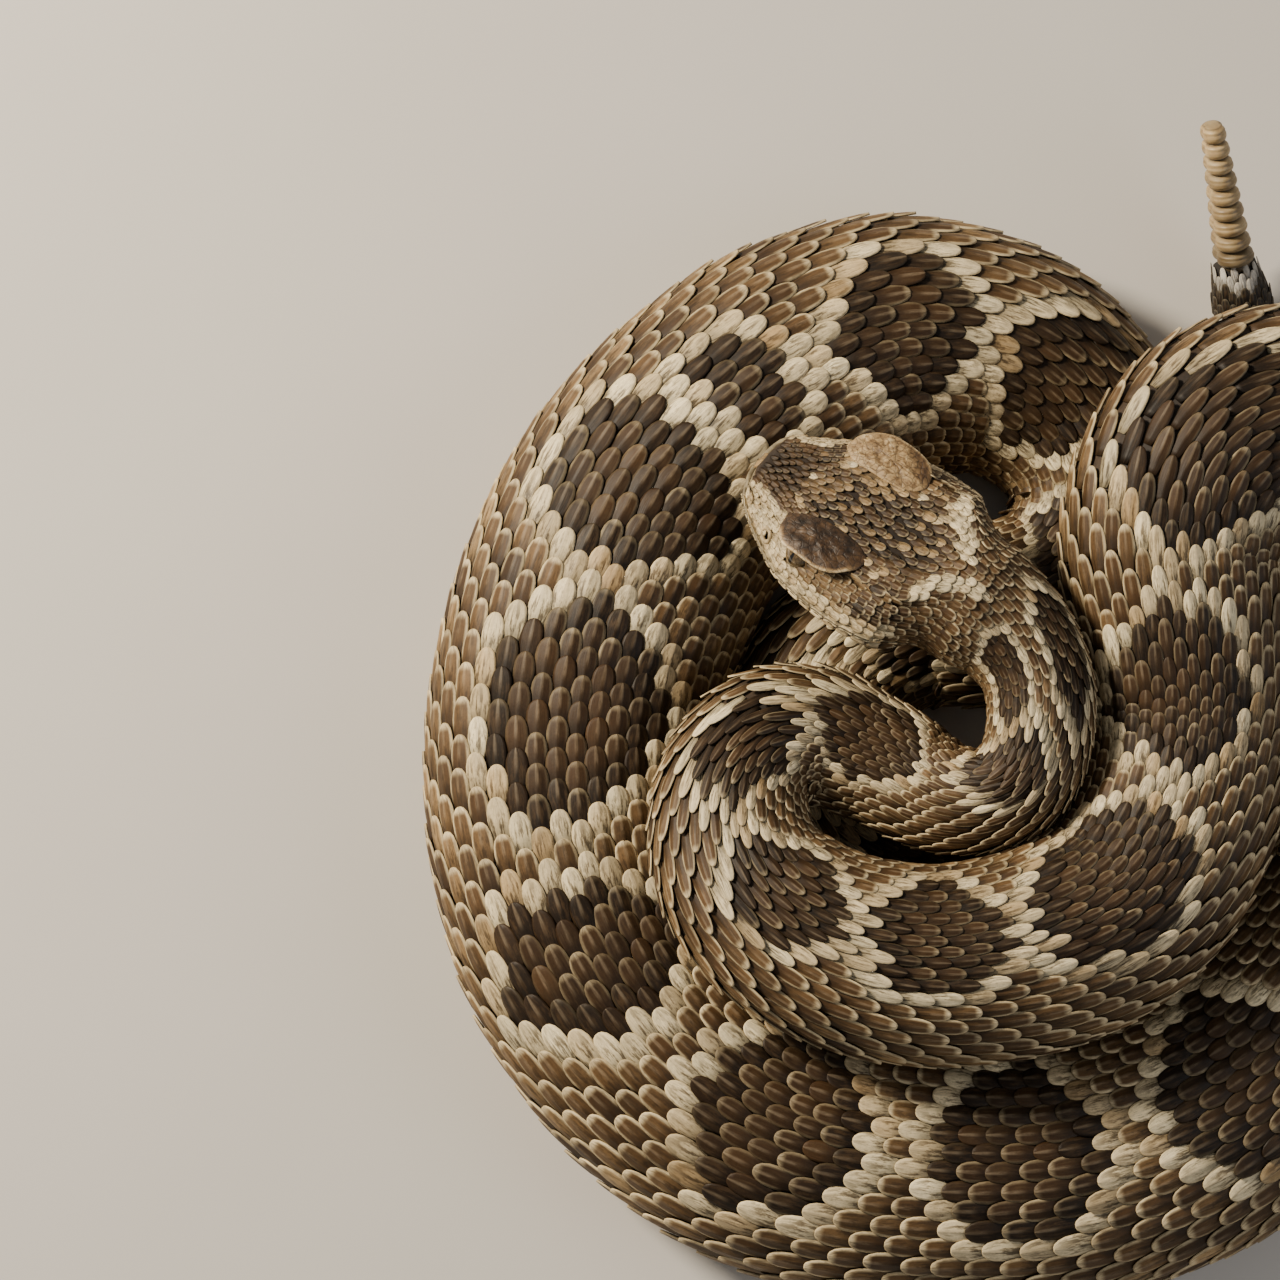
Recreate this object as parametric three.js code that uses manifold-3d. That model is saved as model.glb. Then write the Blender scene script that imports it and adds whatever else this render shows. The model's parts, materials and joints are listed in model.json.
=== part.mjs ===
// Western diamondback rattlesnake, life size, coiled at rest with its head on top.
// Millimetres, +Z up, belly of the lowest coil on the plane z = 0, origin in the middle of the coil.
import * as THREE from 'three';
import { mergeVertices } from 'three/addons/utils/BufferGeometryUtils.js';
import Module from 'manifold-3d';

const wasm = await Module();
wasm.setup();

// Driving dimensions of the animal, measured along the belly from the tip of the snout.
const HEAD_LENGTH = 56;
const TAIL_START = 1213;
const GAP = 0.3;

// The way the belly lies, from the snout to the root of the rattle: x, y and height.
const ROUTE = [
  [-52.5, 59, 47], [-42.5, 51.6, 48.3], [-32, 43.9, 50], [-20.5, 35.4, 51.3], [-8.6, 26.8, 52],
  [-0.3, 20, 52], [5.2, 11, 52], [6.2, 0, 51], [3, -9.8, 48.2], [-4, -14.2, 44.4],
  [-14, -13.5, 39.5], [-28, -6, 35.5], [-41, -0.2, 35.5], [-52, -1.8, 37.5], [-58.8, -10.8, 39],
  [-60, -22.5, 40], [-56, -33.5, 40.5], [-47, -42.3, 40.5], [-34, -48.5, 40], [-16, -51, 38.5],
  [5, -47.5, 37], [23, -38, 35], [34.5, -21, 33], [39.5, 0, 32], [38.5, 20, 33.5], [36.5, 38, 35],
  [40, 53, 36], [49, 63, 35], [62, 67, 32], [78, 64, 26], [91, 53, 15], [96, 34, 4], [97, 11, 0],
  [90, -21, 0], [73, -52, 0], [47, -76, 0], [18, -88, 0], [-13, -90, 0], [-45, -84, 0], [-69, -68, 0],
  [-85, -46, 0], [-93, -21, 0], [-94, 7, 0], [-88, 34, 0], [-75, 59.5, 0], [-51, 82, 0], [-22, 93, 0],
  [5, 88, 0], [22, 71, 0], [25, 54, 0], [16, 39, 0], [0, 32.5, 0], [-19, 31, 0], [-36, 20, 0],
  [-41, 2, 0], [-33, -16, 0], [-15, -24, 0], [6, -24, 0], [27, -20, 0], [44, -13, 0], [55, 1, 0],
  [57, 20, 0], [59, 41, 0], [59, 65, 0], [59, 86, 0], [57, 103, 3], [54, 115, 9],
];

// The middle of the whole animal lies this far along +Y from the zero of the route.
const MIDDLE_Y = 10;

// Half width of the body: distance from the snout, half width.
const GIRTH = [
  [0, 15], [56, 15], [64, 13.6], [74, 12.3], [90, 11.6], [105, 11.9], [118, 13], [137, 14.2], [153, 15],
  [170, 16], [187, 18], [205, 20], [225, 21], [268, 22], [320, 22.2], [342, 23.2], [362, 24.5], [382, 25.7],
  [400, 26.6], [430, 27.5], [478, 28.6], [570, 30.3], [650, 31], [750, 32.3], [830, 33],
  [895, 32.4], [925, 30], [950, 26.5], [970, 23], [985, 21.8], [1005, 21], [1030, 20.4],
  [1050, 19.8], [1070, 19], [1090, 18.2], [1108, 17.2], [1128, 16], [1148, 14.8], [1170, 13.4],
  [1188, 12.2], [1205, 11.2], [1225, 10], [1263, 8.9], [1293, 8], [1313, 7.2],
];

// The back is as high as this share of the half width, low on the heavy middle of the body.
const HEIGHT_SHARE = [[0, 1.4], [70, 1.45], [340, 1.43], [400, 1.4], [490, 1.35], [900, 1.35],
  [1010, 1.42], [1313, 1.55]];

// The ridge of the back leans to the inner side of the bend, as a share of the height.
const LEAN = [[0, 0], [90, 0], [110, 0.05], [150, 0], [180, -0.03], [340, -0.03], [370, 0], [700, 0],
  [800, 0.04], [880, 0.1], [930, 0.06], [980, 0]];

// Right half of the body's section: share of the half width, share of the height, belly to ridge.
const HALF_SECTION = [[0, 0], [0.36, 0], [0.64, 0.02], [0.86, 0.13], [0.98, 0.29], [0.99, 0.47], [0.9, 0.66],
  [0.7, 0.83], [0.42, 0.945], [0.18, 0.99], [0, 1]];
const STATION_STEP = 7;

// The head rolls about its own length, so that its left side shows, and the neck takes the twist out.
const ROLL = [[0, 18], [40, 18], [64, 8], [90, 0]];
const ROLL_PIVOT = 0.6;

// Where the body is divided into lengths, as distances from the snout.
const LENGTHS = [
  ['neck_front', HEAD_LENGTH, 84], ['neck_rear', 84, 112],
];
const BODY_CUTS = [112, 145, 178, 215, 265, 315, 360, 398, 438, 490, 560, 630, 700, 770, 840, 905, 960, 1000,
  1035, 1068, 1100, 1135, 1173, TAIL_START];
for (let i = 0; i < BODY_CUTS.length - 1; i += 1) {
  LENGTHS.push([`body_${String(i + 1).padStart(2, '0')}`, BODY_CUTS[i], BODY_CUTS[i + 1]]);
}

const SCALE_TAN = new THREE.MeshStandardMaterial({ color: 0x8f7a5c, roughness: 0.72, metalness: 0 });
const JAW_CREAM = new THREE.MeshStandardMaterial({ color: 0xd8c9a2, roughness: 0.7, metalness: 0 });
const EYE_GREEN = new THREE.MeshStandardMaterial({ color: 0x7d8468, roughness: 0.15, metalness: 0 });
const RATTLE_HORN = new THREE.MeshStandardMaterial({ color: 0xb59a6c, roughness: 0.5, metalness: 0 });

function along(table, distance) {
  if (distance <= table[0][0]) return table[0][1];
  for (let i = 1; i < table.length; i += 1) {
    const [end, value] = table[i];
    const [start, before] = table[i - 1];
    if (distance <= end) return before + (value - before) * (distance - start) / (end - start);
  }
  return table[table.length - 1][1];
}

const wayPoints = ROUTE.map(([x, y, z]) => new THREE.Vector3(x, y - MIDDLE_Y, z));
const bellyLine = new THREE.CatmullRomCurve3(wayPoints, false, 'centripetal');
bellyLine.arcLengthDivisions = 3000;
const bodyLength = bellyLine.getLength();
const TAIL_MIDDLE = (TAIL_START + bodyLength) / 2;
LENGTHS.push(['tail_front', TAIL_START, TAIL_MIDDLE], ['tail_rear', TAIL_MIDDLE, bodyLength]);

function bellyPoint(distance) {
  const point = bellyLine.getPointAt(Math.min(Math.max(distance / bodyLength, 0), 1));
  point.z = Math.max(point.z, 0);
  return point;
}

// The direction of the way is taken between two points this far to each side.
const WAY_STEP = 1;

function station(distance) {
  const origin = bellyPoint(distance);
  const forward = bellyPoint(distance + WAY_STEP).sub(bellyPoint(distance - WAY_STEP)).normalize();
  const right = new THREE.Vector3().crossVectors(forward, new THREE.Vector3(0, 0, 1)).normalize();
  const up = new THREE.Vector3().crossVectors(right, forward);
  return { origin, forward, right, up };
}

// A point of the section at this distance: across to the right of the way, and up from the belly.
function sectionPoint(distance, across, height) {
  const { origin, right, up } = station(distance);
  const pivot = ROLL_PIVOT * along(GIRTH, distance);
  const roll = THREE.MathUtils.degToRad(along(ROLL, distance));
  const u = across * Math.cos(roll) - (height - pivot) * Math.sin(roll);
  const v = across * Math.sin(roll) + (height - pivot) * Math.cos(roll) + pivot;
  return origin.addScaledVector(right, u).addScaledVector(up, v);
}

function mirroredRing(distance, half) {
  const other = half.slice(1, -1).reverse().map(([u, v]) => [-u, v]);
  const lean = along(LEAN, distance);
  return [...half, ...other].map(([u, v]) => sectionPoint(distance, u + lean * v, v));
}

function bodyHalf(distance) {
  const halfWidth = along(GIRTH, distance);
  const height = halfWidth * along(HEIGHT_SHARE, distance);
  return HALF_SECTION.map(([u, v]) => [u * halfWidth, v * height]);
}

function bodyRing(distance) {
  return mirroredRing(distance, bodyHalf(distance));
}

// The flat end of a length, moved along the way so that two neighbours face each other across the gap.
function endRing(distance, half, shift) {
  const offset = station(distance).forward.multiplyScalar(shift);
  return mirroredRing(distance, half).map((point) => point.add(offset));
}

// A closed body through rings of equally many points, with a fan of triangles on each end.
function loft(rings) {
  const count = rings[0].length;
  const positions = [];
  const index = [];
  rings.forEach((ring) => ring.forEach((p) => positions.push(p.x, p.y, p.z)));
  for (let r = 0; r < rings.length - 1; r += 1) {
    for (let k = 0; k < count; k += 1) {
      const a = r * count + k;
      const b = r * count + (k + 1) % count;
      index.push(b, a, a + count, b, a + count, b + count);
    }
  }
  [0, rings.length - 1].forEach((r) => {
    const middle = rings[r].reduce((sum, p) => sum.add(p), new THREE.Vector3()).divideScalar(count);
    positions.push(middle.x, middle.y, middle.z);
    const centre = positions.length / 3 - 1;
    for (let k = 0; k < count; k += 1) {
      const a = r * count + k;
      const b = r * count + (k + 1) % count;
      if (r === 0) index.push(centre, a, b);
      else index.push(centre, b, a);
    }
  });
  const geometry = new THREE.BufferGeometry();
  geometry.setAttribute('position', new THREE.Float32BufferAttribute(positions, 3));
  geometry.setIndex(index);
  return geometry;
}

const snake = new THREE.Group();

function add(name, geometry, material) {
  const mesh = new THREE.Mesh(geometry, material);
  mesh.name = name;
  snake.add(mesh);
}

LENGTHS.forEach(([name, start, end]) => {
  const steps = Math.max(2, Math.round((end - start) / STATION_STEP));
  const rings = [endRing(start, bodyHalf(start), GAP / 2)];
  for (let i = 1; i < steps; i += 1) rings.push(bodyRing(start + (end - start) * i / steps));
  rings.push(endRing(end, bodyHalf(end), -GAP / 2));
  add(name, loft(rings), SCALE_TAN);
});

// Head: half widths and heights above the chin line, by distance from the snout.
const LIP = [[0, 5], [1.5, 8], [4, 11], [7, 13.4], [12, 16.6], [18, 20], [24, 21.8], [30, 22.8],
  [38, 23], [44, 22], [49, 19.8], [56, 15]];
const CROWN = [[0, 4], [1.5, 6.3], [5, 8.3], [9, 9.8], [14, 12], [20, 14.6], [27, 15.4], [34, 15.2],
  [44, 14.8], [50, 12.8], [56, 10.5]];
const TOP = [[0, 8.5], [1.5, 10], [5, 11.3], [10, 12.3], [16, 13.8], [22, 15.2], [30, 16], [38, 17.2],
  [46, 19], [56, 21]];
const MOUTH = [[0, 3.4], [6, 3], [22, 3.8], [38, 5.2], [50, 7], [56, 7]];
const CHIN = [[0, 1.6], [3, 0.8], [10, 0.2], [20, 0], [56, 0]];

// The palate is flat over these shares of the lip's half width, and the lip shields stand above it.
const PALATE = [0.55, 0.93];
const LIP_BAND = 2.7;
const LIP_EDGE = 0.7;
const FACE_STEP = { inwards: 0.8, upwards: 0.6 };
const CHEEK = { outwards: 0.3, above: 0.7 };
const CANTHUS = { outwards: 0.8, below: 2.1 };
const CROWN_EDGE = 0.6;
const CROWN_DOME = { share: 0.55, rise: 0.2 };

// The jaw is a body of its own from its tip to its end, under the palate and inside the lip.
const JAW_TIP = 0.6;
const JAW_END = 50;
const JAW_INSET = 0.5;
const JAW_GAP = 0.35;
const JAW_THINNEST = 0.8;
const JAW_SECTION = [[0, 0], [0.45, 0], [0.8, 0.12], [0.97, 0.5], [1, 0.85], [0.95, 1], [0.5, 1], [0, 1]];

// Behind the jaw the head is whole down to the throat and melts into the neck.
const NAPE_BLEND = 42;
const HEAD_STATIONS = [0, 1.5, 4, 7, 10, 13, 16, 19, 22, 25, 28, 31, 34, 37, 40, 43, 46.5, JAW_END];
const THROAT_STATIONS = [50.5, 53];
const OPEN_POINTS = 4;

// Eyes, pits and nostrils on both sides, and a brow that stands out over each eye.
const EYE = { distance: 22, outside: 0.6, below: 4.7, radius: 3.4, segments: 20 };
const PIT = { distance: 12.5, height: 8, size: [1.7, 1.6, 1.2], segments: 10 };
const NOSTRIL = { distance: 4.5, height: 8, size: [0.9, 0.9, 0.9], segments: 10 };
const BROW = { distance: 24.5, inset: 2, above: 0.1, size: [5.3, 9.2, 1.7], segments: 18 };
const BALL_RINGS = 0.6;

function headHalf(distance, wholeDepth) {
  const lip = along(LIP, distance);
  const crown = along(CROWN, distance);
  const top = along(TOP, distance);
  const mouth = along(MOUTH, distance);
  const band = mouth + LIP_BAND;
  const shape = [[0, mouth], [PALATE[0] * lip, mouth], [PALATE[1] * lip, mouth], [lip, mouth + LIP_EDGE],
    [lip, band], [lip - FACE_STEP.inwards, band + FACE_STEP.upwards],
    [(lip + crown) / 2 + CHEEK.outwards, Math.max(band + CHEEK.above, (band + top) / 2)],
    [crown + CANTHUS.outwards, top - CANTHUS.below], [crown, top - CROWN_EDGE],
    [crown * CROWN_DOME.share, top + CROWN_DOME.rise], [0, top]];
  const blend = THREE.MathUtils.smoothstep(distance, NAPE_BLEND, HEAD_LENGTH);
  const body = bodyHalf(distance);
  return shape.map(([u, v], i) => {
    if (i < OPEN_POINTS) return wholeDepth ? body[i] : [u, v];
    return [u + (body[i][0] - u) * blend, v + (body[i][1] - v) * blend];
  });
}

// Ball drawn out along the section's axes and set in the head's own frame.
function headBall(distance, across, height, [wide, long, high], segments) {
  const ball = new THREE.SphereGeometry(1, segments, Math.round(segments * BALL_RINGS));
  ball.deleteAttribute('normal');
  ball.deleteAttribute('uv');
  const merged = mergeVertices(ball);
  const place = merged.attributes.position;
  for (let i = 0; i < place.count; i += 1) {
    const point = sectionPoint(distance + place.getY(i) * long, across + place.getX(i) * wide,
      height + place.getZ(i) * high);
    place.setXYZ(i, point.x, point.y, point.z);
  }
  return merged;
}

function solid(geometry) {
  return new wasm.Manifold(new wasm.Mesh({
    numProp: 3,
    vertProperties: new Float32Array(geometry.attributes.position.array),
    triVerts: new Uint32Array(geometry.index.array),
  }));
}

// The largest piece of a cut solid.
function geometryOf(manifold) {
  const pieces = manifold.decompose();
  pieces.sort((a, b) => b.volume() - a.volume());
  const mesh = pieces[0].getMesh();
  const geometry = new THREE.BufferGeometry();
  geometry.setAttribute('position', new THREE.BufferAttribute(mesh.vertProperties, 3));
  geometry.setIndex(new THREE.BufferAttribute(mesh.triVerts, 1));
  return geometry;
}

// Half width of the side of the head at a height, from the lip's edge up to the crown's edge.
function sideOfHead(distance, height) {
  const half = headHalf(distance, false);
  const side = half.slice(OPEN_POINTS - 1, half.length - 2);
  for (let i = 1; i < side.length; i += 1) {
    const [u0, v0] = side[i - 1];
    const [u1, v1] = side[i];
    if (height <= v1) return u0 + (u1 - u0) * (height - v0) / (v1 - v0);
  }
  return side[side.length - 1][0];
}

function makeHead() {
  const rings = HEAD_STATIONS.map((distance) => mirroredRing(distance, headHalf(distance, false)));
  THROAT_STATIONS.forEach((distance) => rings.push(mirroredRing(distance, headHalf(distance, true))));
  rings.push(endRing(HEAD_LENGTH, bodyHalf(HEAD_LENGTH), -GAP / 2));
  let head = solid(loft(rings));
  const eyeHeight = along(TOP, EYE.distance) - EYE.below;
  const eyeAcross = along(CROWN, EYE.distance) + EYE.outside;
  const browAcross = along(CROWN, BROW.distance) - BROW.inset;
  const browHeight = along(TOP, BROW.distance) + BROW.above;
  const socketSize = Array(3).fill(EYE.radius + GAP);
  const eyeSize = Array(3).fill(EYE.radius);
  [1, -1].forEach((side) => {
    head = head.add(solid(headBall(BROW.distance, side * browAcross, browHeight, BROW.size, BROW.segments)));
    const socket = headBall(EYE.distance, side * eyeAcross, eyeHeight, socketSize, EYE.segments);
    head = head.subtract(solid(socket));
    [PIT, NOSTRIL].forEach(({ distance, height, size, segments }) => {
      const across = side * sideOfHead(distance, height);
      head = head.subtract(solid(headBall(distance, across, height, size, segments)));
    });
    const eye = headBall(EYE.distance, side * eyeAcross, eyeHeight, eyeSize, EYE.segments);
    add(side > 0 ? 'eye_left' : 'eye_right', eye, EYE_GREEN);
  });
  add('head', geometryOf(head), SCALE_TAN);
}

function jawHalf(distance) {
  const half = along(LIP, distance) - JAW_INSET;
  const mouth = along(MOUTH, distance) - JAW_GAP;
  const chin = Math.min(along(CHIN, distance), mouth - JAW_THINNEST);
  return JAW_SECTION.map(([u, v]) => [u * half, chin + v * (mouth - chin)]);
}

function makeJaw() {
  const stations = [JAW_TIP, ...HEAD_STATIONS.slice(1, -1), JAW_END - JAW_GAP];
  add('lower_jaw', loft(stations.map((distance) => mirroredRing(distance, jawHalf(distance)))), JAW_CREAM);
}

// Rattle: dry segments that clasp each other, flattened from side to side, rising from the tail.
const RATTLE = {
  segments: 9, pitch: 3.7, halfWidth: 4.4, halfHeight: 6.6, endShare: 0.62, tipShare: 0.31, rise: 10,
  clear: 1.1,
};
const FURROW = { depth: 0.2, width: 0.3 };
const SEGMENT_PROFILE = [[0, 0.72], [0.18, 0.94], [0.45, 1], [0.75, 0.9]];
const RATTLE_SIDES = 16;

function rattleRing(base, distance, share) {
  const points = [];
  for (let i = 0; i < RATTLE_SIDES; i += 1) {
    const angle = 2 * Math.PI * i / RATTLE_SIDES;
    const furrow = 1 - FURROW.depth * Math.exp(-((Math.sin(angle) / FURROW.width) ** 2));
    points.push(base.middle.clone()
      .addScaledVector(base.axis, distance)
      .addScaledVector(base.right, Math.cos(angle) * RATTLE.halfWidth * share * furrow)
      .addScaledVector(base.up, Math.sin(angle) * RATTLE.halfHeight * share));
  }
  return points;
}

function makeRattle() {
  const { origin, forward, right, up } = station(bodyLength);
  const height = along(GIRTH, bodyLength) * along(HEIGHT_SHARE, bodyLength);
  const middle = origin.clone().addScaledVector(up, height / 2).addScaledVector(forward, RATTLE.clear);
  const axis = forward.clone().applyAxisAngle(right, THREE.MathUtils.degToRad(RATTLE.rise));
  const base = { middle, axis, right, up: new THREE.Vector3().crossVectors(right, axis) };
  const rings = [];
  for (let i = 0; i < RATTLE.segments; i += 1) {
    const taper = 1 + (RATTLE.endShare - 1) * i / (RATTLE.segments - 1);
    SEGMENT_PROFILE.forEach(([step, share]) => {
      rings.push(rattleRing(base, (i + step) * RATTLE.pitch, share * taper));
    });
  }
  rings.push(rattleRing(base, RATTLE.segments * RATTLE.pitch, RATTLE.tipShare));
  add('rattle', loft(rings), RATTLE_HORN);
}

makeHead();
makeJaw();
makeRattle();

export default snake;
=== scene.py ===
# %% [markdown]
# A western diamondback rattlesnake at life size, coiled at rest with its head on top.
# The imported solids give the size and the place of everything. This lesson lays a skin along the same
# route, covers it with single keeled scales, and finishes the head, the ringed tail and the rattle.
# The first cell loads the solids.

# %% Load the solids
import json
import math
import bmesh
import bpy
import numpy as np
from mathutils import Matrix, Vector, bvhtree
from mathutils import noise as relief

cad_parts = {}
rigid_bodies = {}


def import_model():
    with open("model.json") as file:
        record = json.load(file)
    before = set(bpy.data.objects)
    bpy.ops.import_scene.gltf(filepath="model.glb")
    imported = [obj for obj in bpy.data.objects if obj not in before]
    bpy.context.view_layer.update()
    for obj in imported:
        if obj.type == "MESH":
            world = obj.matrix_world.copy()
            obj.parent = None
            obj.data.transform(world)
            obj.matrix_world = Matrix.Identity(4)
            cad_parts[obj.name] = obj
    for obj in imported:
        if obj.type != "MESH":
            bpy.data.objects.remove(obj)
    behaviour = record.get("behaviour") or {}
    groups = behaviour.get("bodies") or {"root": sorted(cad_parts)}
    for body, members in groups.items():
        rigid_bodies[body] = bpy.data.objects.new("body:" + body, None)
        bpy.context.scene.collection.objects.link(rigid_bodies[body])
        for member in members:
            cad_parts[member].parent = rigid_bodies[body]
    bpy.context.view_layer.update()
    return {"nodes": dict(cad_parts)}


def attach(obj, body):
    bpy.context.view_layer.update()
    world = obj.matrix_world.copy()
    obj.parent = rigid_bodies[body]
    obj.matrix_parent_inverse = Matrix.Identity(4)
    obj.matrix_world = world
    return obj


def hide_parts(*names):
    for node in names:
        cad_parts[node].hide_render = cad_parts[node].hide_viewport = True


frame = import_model()
MM = 0.001
print("solids loaded:", len(frame["nodes"]))

# %% [markdown]
# The camera looks down on the coil almost from above, as a person does who bends over it. A long lens
# keeps the near and the far coils at nearly one size. The target isn't the middle of the animal,
# because the picture that this model follows has the coil right of its centre.

# %% Camera
VIEW_ELEVATION = math.radians(80)
VIEW_DISTANCE = 1.2
VIEW_TARGET = Vector((-0.07925, 0.0185, 0.0))
LENS, SENSOR = 150.0, 36.0

camera_data = bpy.data.cameras.new("view_camera")
camera_data.lens = LENS
camera_data.sensor_width = SENSOR
camera = bpy.data.objects.new("view_camera", camera_data)
bpy.context.scene.collection.objects.link(camera)
towards_eye = Vector((0, -math.cos(VIEW_ELEVATION), math.sin(VIEW_ELEVATION)))
camera.location = VIEW_TARGET + VIEW_DISTANCE * towards_eye
camera.rotation_euler = (math.pi / 2 - VIEW_ELEVATION, 0, 0)
bpy.context.scene.camera = camera
print("camera stands", round(camera.location.z, 3), "m above the floor")

# %% [markdown]
# The belly of the snake lies along one route from the snout to the root of the rattle. The points are
# those of the solids, in millimetres, joined by the same smooth curve: a Catmull-Rom spline whose
# knots are spaced by the square root of the chord. Distance along it is the ruler for everything else.

# %% Route of the belly
MIDDLE_Y = 10
HEAD_LENGTH, TAIL_START = 56, 1213
ROUTE = [
    (-52.5, 59, 47), (-42.5, 51.6, 48.3), (-32, 43.9, 50), (-20.5, 35.4, 51.3), (-8.6, 26.8, 52),
    (-0.3, 20, 52), (5.2, 11, 52), (6.2, 0, 51), (3, -9.8, 48.2), (-4, -14.2, 44.4),
    (-14, -13.5, 39.5), (-28, -6, 35.5), (-41, -0.2, 35.5), (-52, -1.8, 37.5), (-58.8, -10.8, 39),
    (-60, -22.5, 40), (-56, -33.5, 40.5), (-47, -42.3, 40.5), (-34, -48.5, 40), (-16, -51, 38.5),
    (5, -47.5, 37), (23, -38, 35), (34.5, -21, 33), (39.5, 0, 32), (38.5, 20, 33.5), (36.5, 38, 35),
    (40, 53, 36), (49, 63, 35), (62, 67, 32), (78, 64, 26), (91, 53, 15), (96, 34, 4), (97, 11, 0),
    (90, -21, 0), (73, -52, 0), (47, -76, 0), (18, -88, 0), (-13, -90, 0), (-45, -84, 0), (-69, -68, 0),
    (-85, -46, 0), (-93, -21, 0), (-94, 7, 0), (-88, 34, 0), (-75, 59.5, 0), (-51, 82, 0), (-22, 93, 0),
    (5, 88, 0), (22, 71, 0), (25, 54, 0), (16, 39, 0), (0, 32.5, 0), (-19, 31, 0), (-36, 20, 0),
    (-41, 2, 0), (-33, -16, 0), (-15, -24, 0), (6, -24, 0), (27, -20, 0), (44, -13, 0), (55, 1, 0),
    (57, 20, 0), (59, 41, 0), (59, 65, 0), (59, 86, 0), (57, 103, 3), (54, 115, 9),
]


def smooth_route(points, steps=150):
    """Points of the centripetal spline through the given ones."""
    p = np.array(points, float) - (0, MIDDLE_Y, 0)
    p = np.vstack([2 * p[0] - p[1], p, 2 * p[-1] - p[-2]])
    pieces = []
    for p0, p1, p2, p3 in zip(p, p[1:], p[2:], p[3:]):
        k0 = 0.0
        k1 = k0 + np.linalg.norm(p1 - p0) ** 0.5
        k2 = k1 + np.linalg.norm(p2 - p1) ** 0.5
        k3 = k2 + np.linalg.norm(p3 - p2) ** 0.5
        t = np.linspace(k1, k2, steps, endpoint=False)[:, None]
        a1 = ((k1 - t) * p0 + (t - k0) * p1) / (k1 - k0)
        a2 = ((k2 - t) * p1 + (t - k1) * p2) / (k2 - k1)
        a3 = ((k3 - t) * p2 + (t - k2) * p3) / (k3 - k2)
        b1 = ((k2 - t) * a1 + (t - k0) * a2) / (k2 - k0)
        b2 = ((k3 - t) * a2 + (t - k1) * a3) / (k3 - k1)
        pieces.append(((k2 - t) * b1 + (t - k1) * b2) / (k2 - k1))
    return np.vstack(pieces + [p[-2][None]])


route_line = smooth_route(ROUTE)
route_run = np.concatenate([[0], np.cumsum(np.linalg.norm(np.diff(route_line, axis=0), axis=1))])
BODY_LENGTH = route_run[-1]
print("length from snout to rattle:", round(BODY_LENGTH, 1), "mm")

# %% [markdown]
# The section is round on the back and flat on the belly. Its half width and height change along the
# body, and the ridge leans a little where the coils press on each other. A snake has no fixed up and
# down, so each station makes its own frame from the direction of the route.

# %% Girth
GIRTH = [
    (0, 15), (56, 15), (64, 13.6), (74, 12.3), (90, 11.6), (105, 11.9), (118, 13), (137, 14.2), (153, 15),
    (170, 16), (187, 18), (205, 20), (225, 21), (268, 22), (320, 22.2), (342, 23.2), (362, 24.5),
    (382, 25.7), (400, 26.6), (430, 27.5), (478, 28.6), (570, 30.3), (650, 31), (750, 32.3), (830, 33),
    (895, 32.4), (925, 30), (950, 26.5), (970, 23), (985, 21.8), (1005, 21), (1030, 20.4),
    (1050, 19.8), (1070, 19), (1090, 18.2), (1108, 17.2), (1128, 16), (1148, 14.8), (1170, 13.4),
    (1188, 12.2), (1205, 11.2), (1225, 10), (1263, 8.9), (1293, 8), (1313, 7.2), (1322, 5.3),
]
HEIGHT_SHARE = [(0, 1.4), (70, 1.45), (340, 1.43), (400, 1.4), (490, 1.35), (900, 1.35), (1010, 1.42),
                (1313, 1.55), (1322, 1.95)]
TAIL_END_HEIGHT = 11.16  # where the rattle is rooted, before the tail narrows to it
LEAN = [(0, 0), (90, 0), (110, 0.05), (150, 0), (180, -0.03), (340, -0.03), (370, 0), (700, 0), (800, 0.04),
        (880, 0.1), (930, 0.06), (980, 0)]
HALF_SECTION = [(0, 0), (0.36, 0), (0.64, 0.02), (0.86, 0.13), (0.98, 0.29), (0.99, 0.47), (0.9, 0.66),
                (0.7, 0.83), (0.42, 0.945), (0.18, 0.99), (0, 1)]
ROLL = [(0, 18), (40, 18), (64, 8), (90, 0)]
ROLL_PIVOT = 0.6
RIDGE = 10  # the turn of a point of the section: 0 is the belly's middle and 10 the ridge
print("thickest at mid-body:", 2 * max(half for _, half in GIRTH), "mm across")

# %% [markdown]
# Tables are read with straight lines between their rows, or with soft curves. A station is a point of
# the belly line with its three directions. From it, a place in the section becomes a point in space.

# %% Stations and section
def along(table, distance):
    table = np.array(table, float)
    return np.interp(distance, table[:, 0], table[:, 1])


def smooth_along(knots, values, x):
    """A soft curve through the knots, one column of values for each knot."""
    knots, values = np.asarray(knots, float), np.asarray(values, float)
    slope = np.gradient(values, knots, axis=-1)
    i = np.clip(np.searchsorted(knots, x, side="right") - 1, 0, len(knots) - 2)
    width = knots[i + 1] - knots[i]
    s = np.clip((x - knots[i]) / width, 0, 1)
    before, after = values[..., i], values[..., i + 1]
    rise, fall = slope[..., i] * width, slope[..., i + 1] * width
    return (before * (2 * s ** 3 - 3 * s ** 2 + 1) + rise * (s ** 3 - 2 * s ** 2 + s)
            + after * (3 * s ** 2 - 2 * s ** 3) + fall * (s ** 3 - s ** 2))


def soft_table(table, distance):
    table = np.array(table, float)
    return smooth_along(table[:, 0], table[:, 1], np.asarray(distance, float))


def belly_point(distance):
    distance = np.clip(distance, 0, BODY_LENGTH)
    point = np.stack([np.interp(distance, route_run, route_line[:, i]) for i in range(3)], -1)
    point[..., 2] = np.maximum(point[..., 2], 0)
    return point


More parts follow.
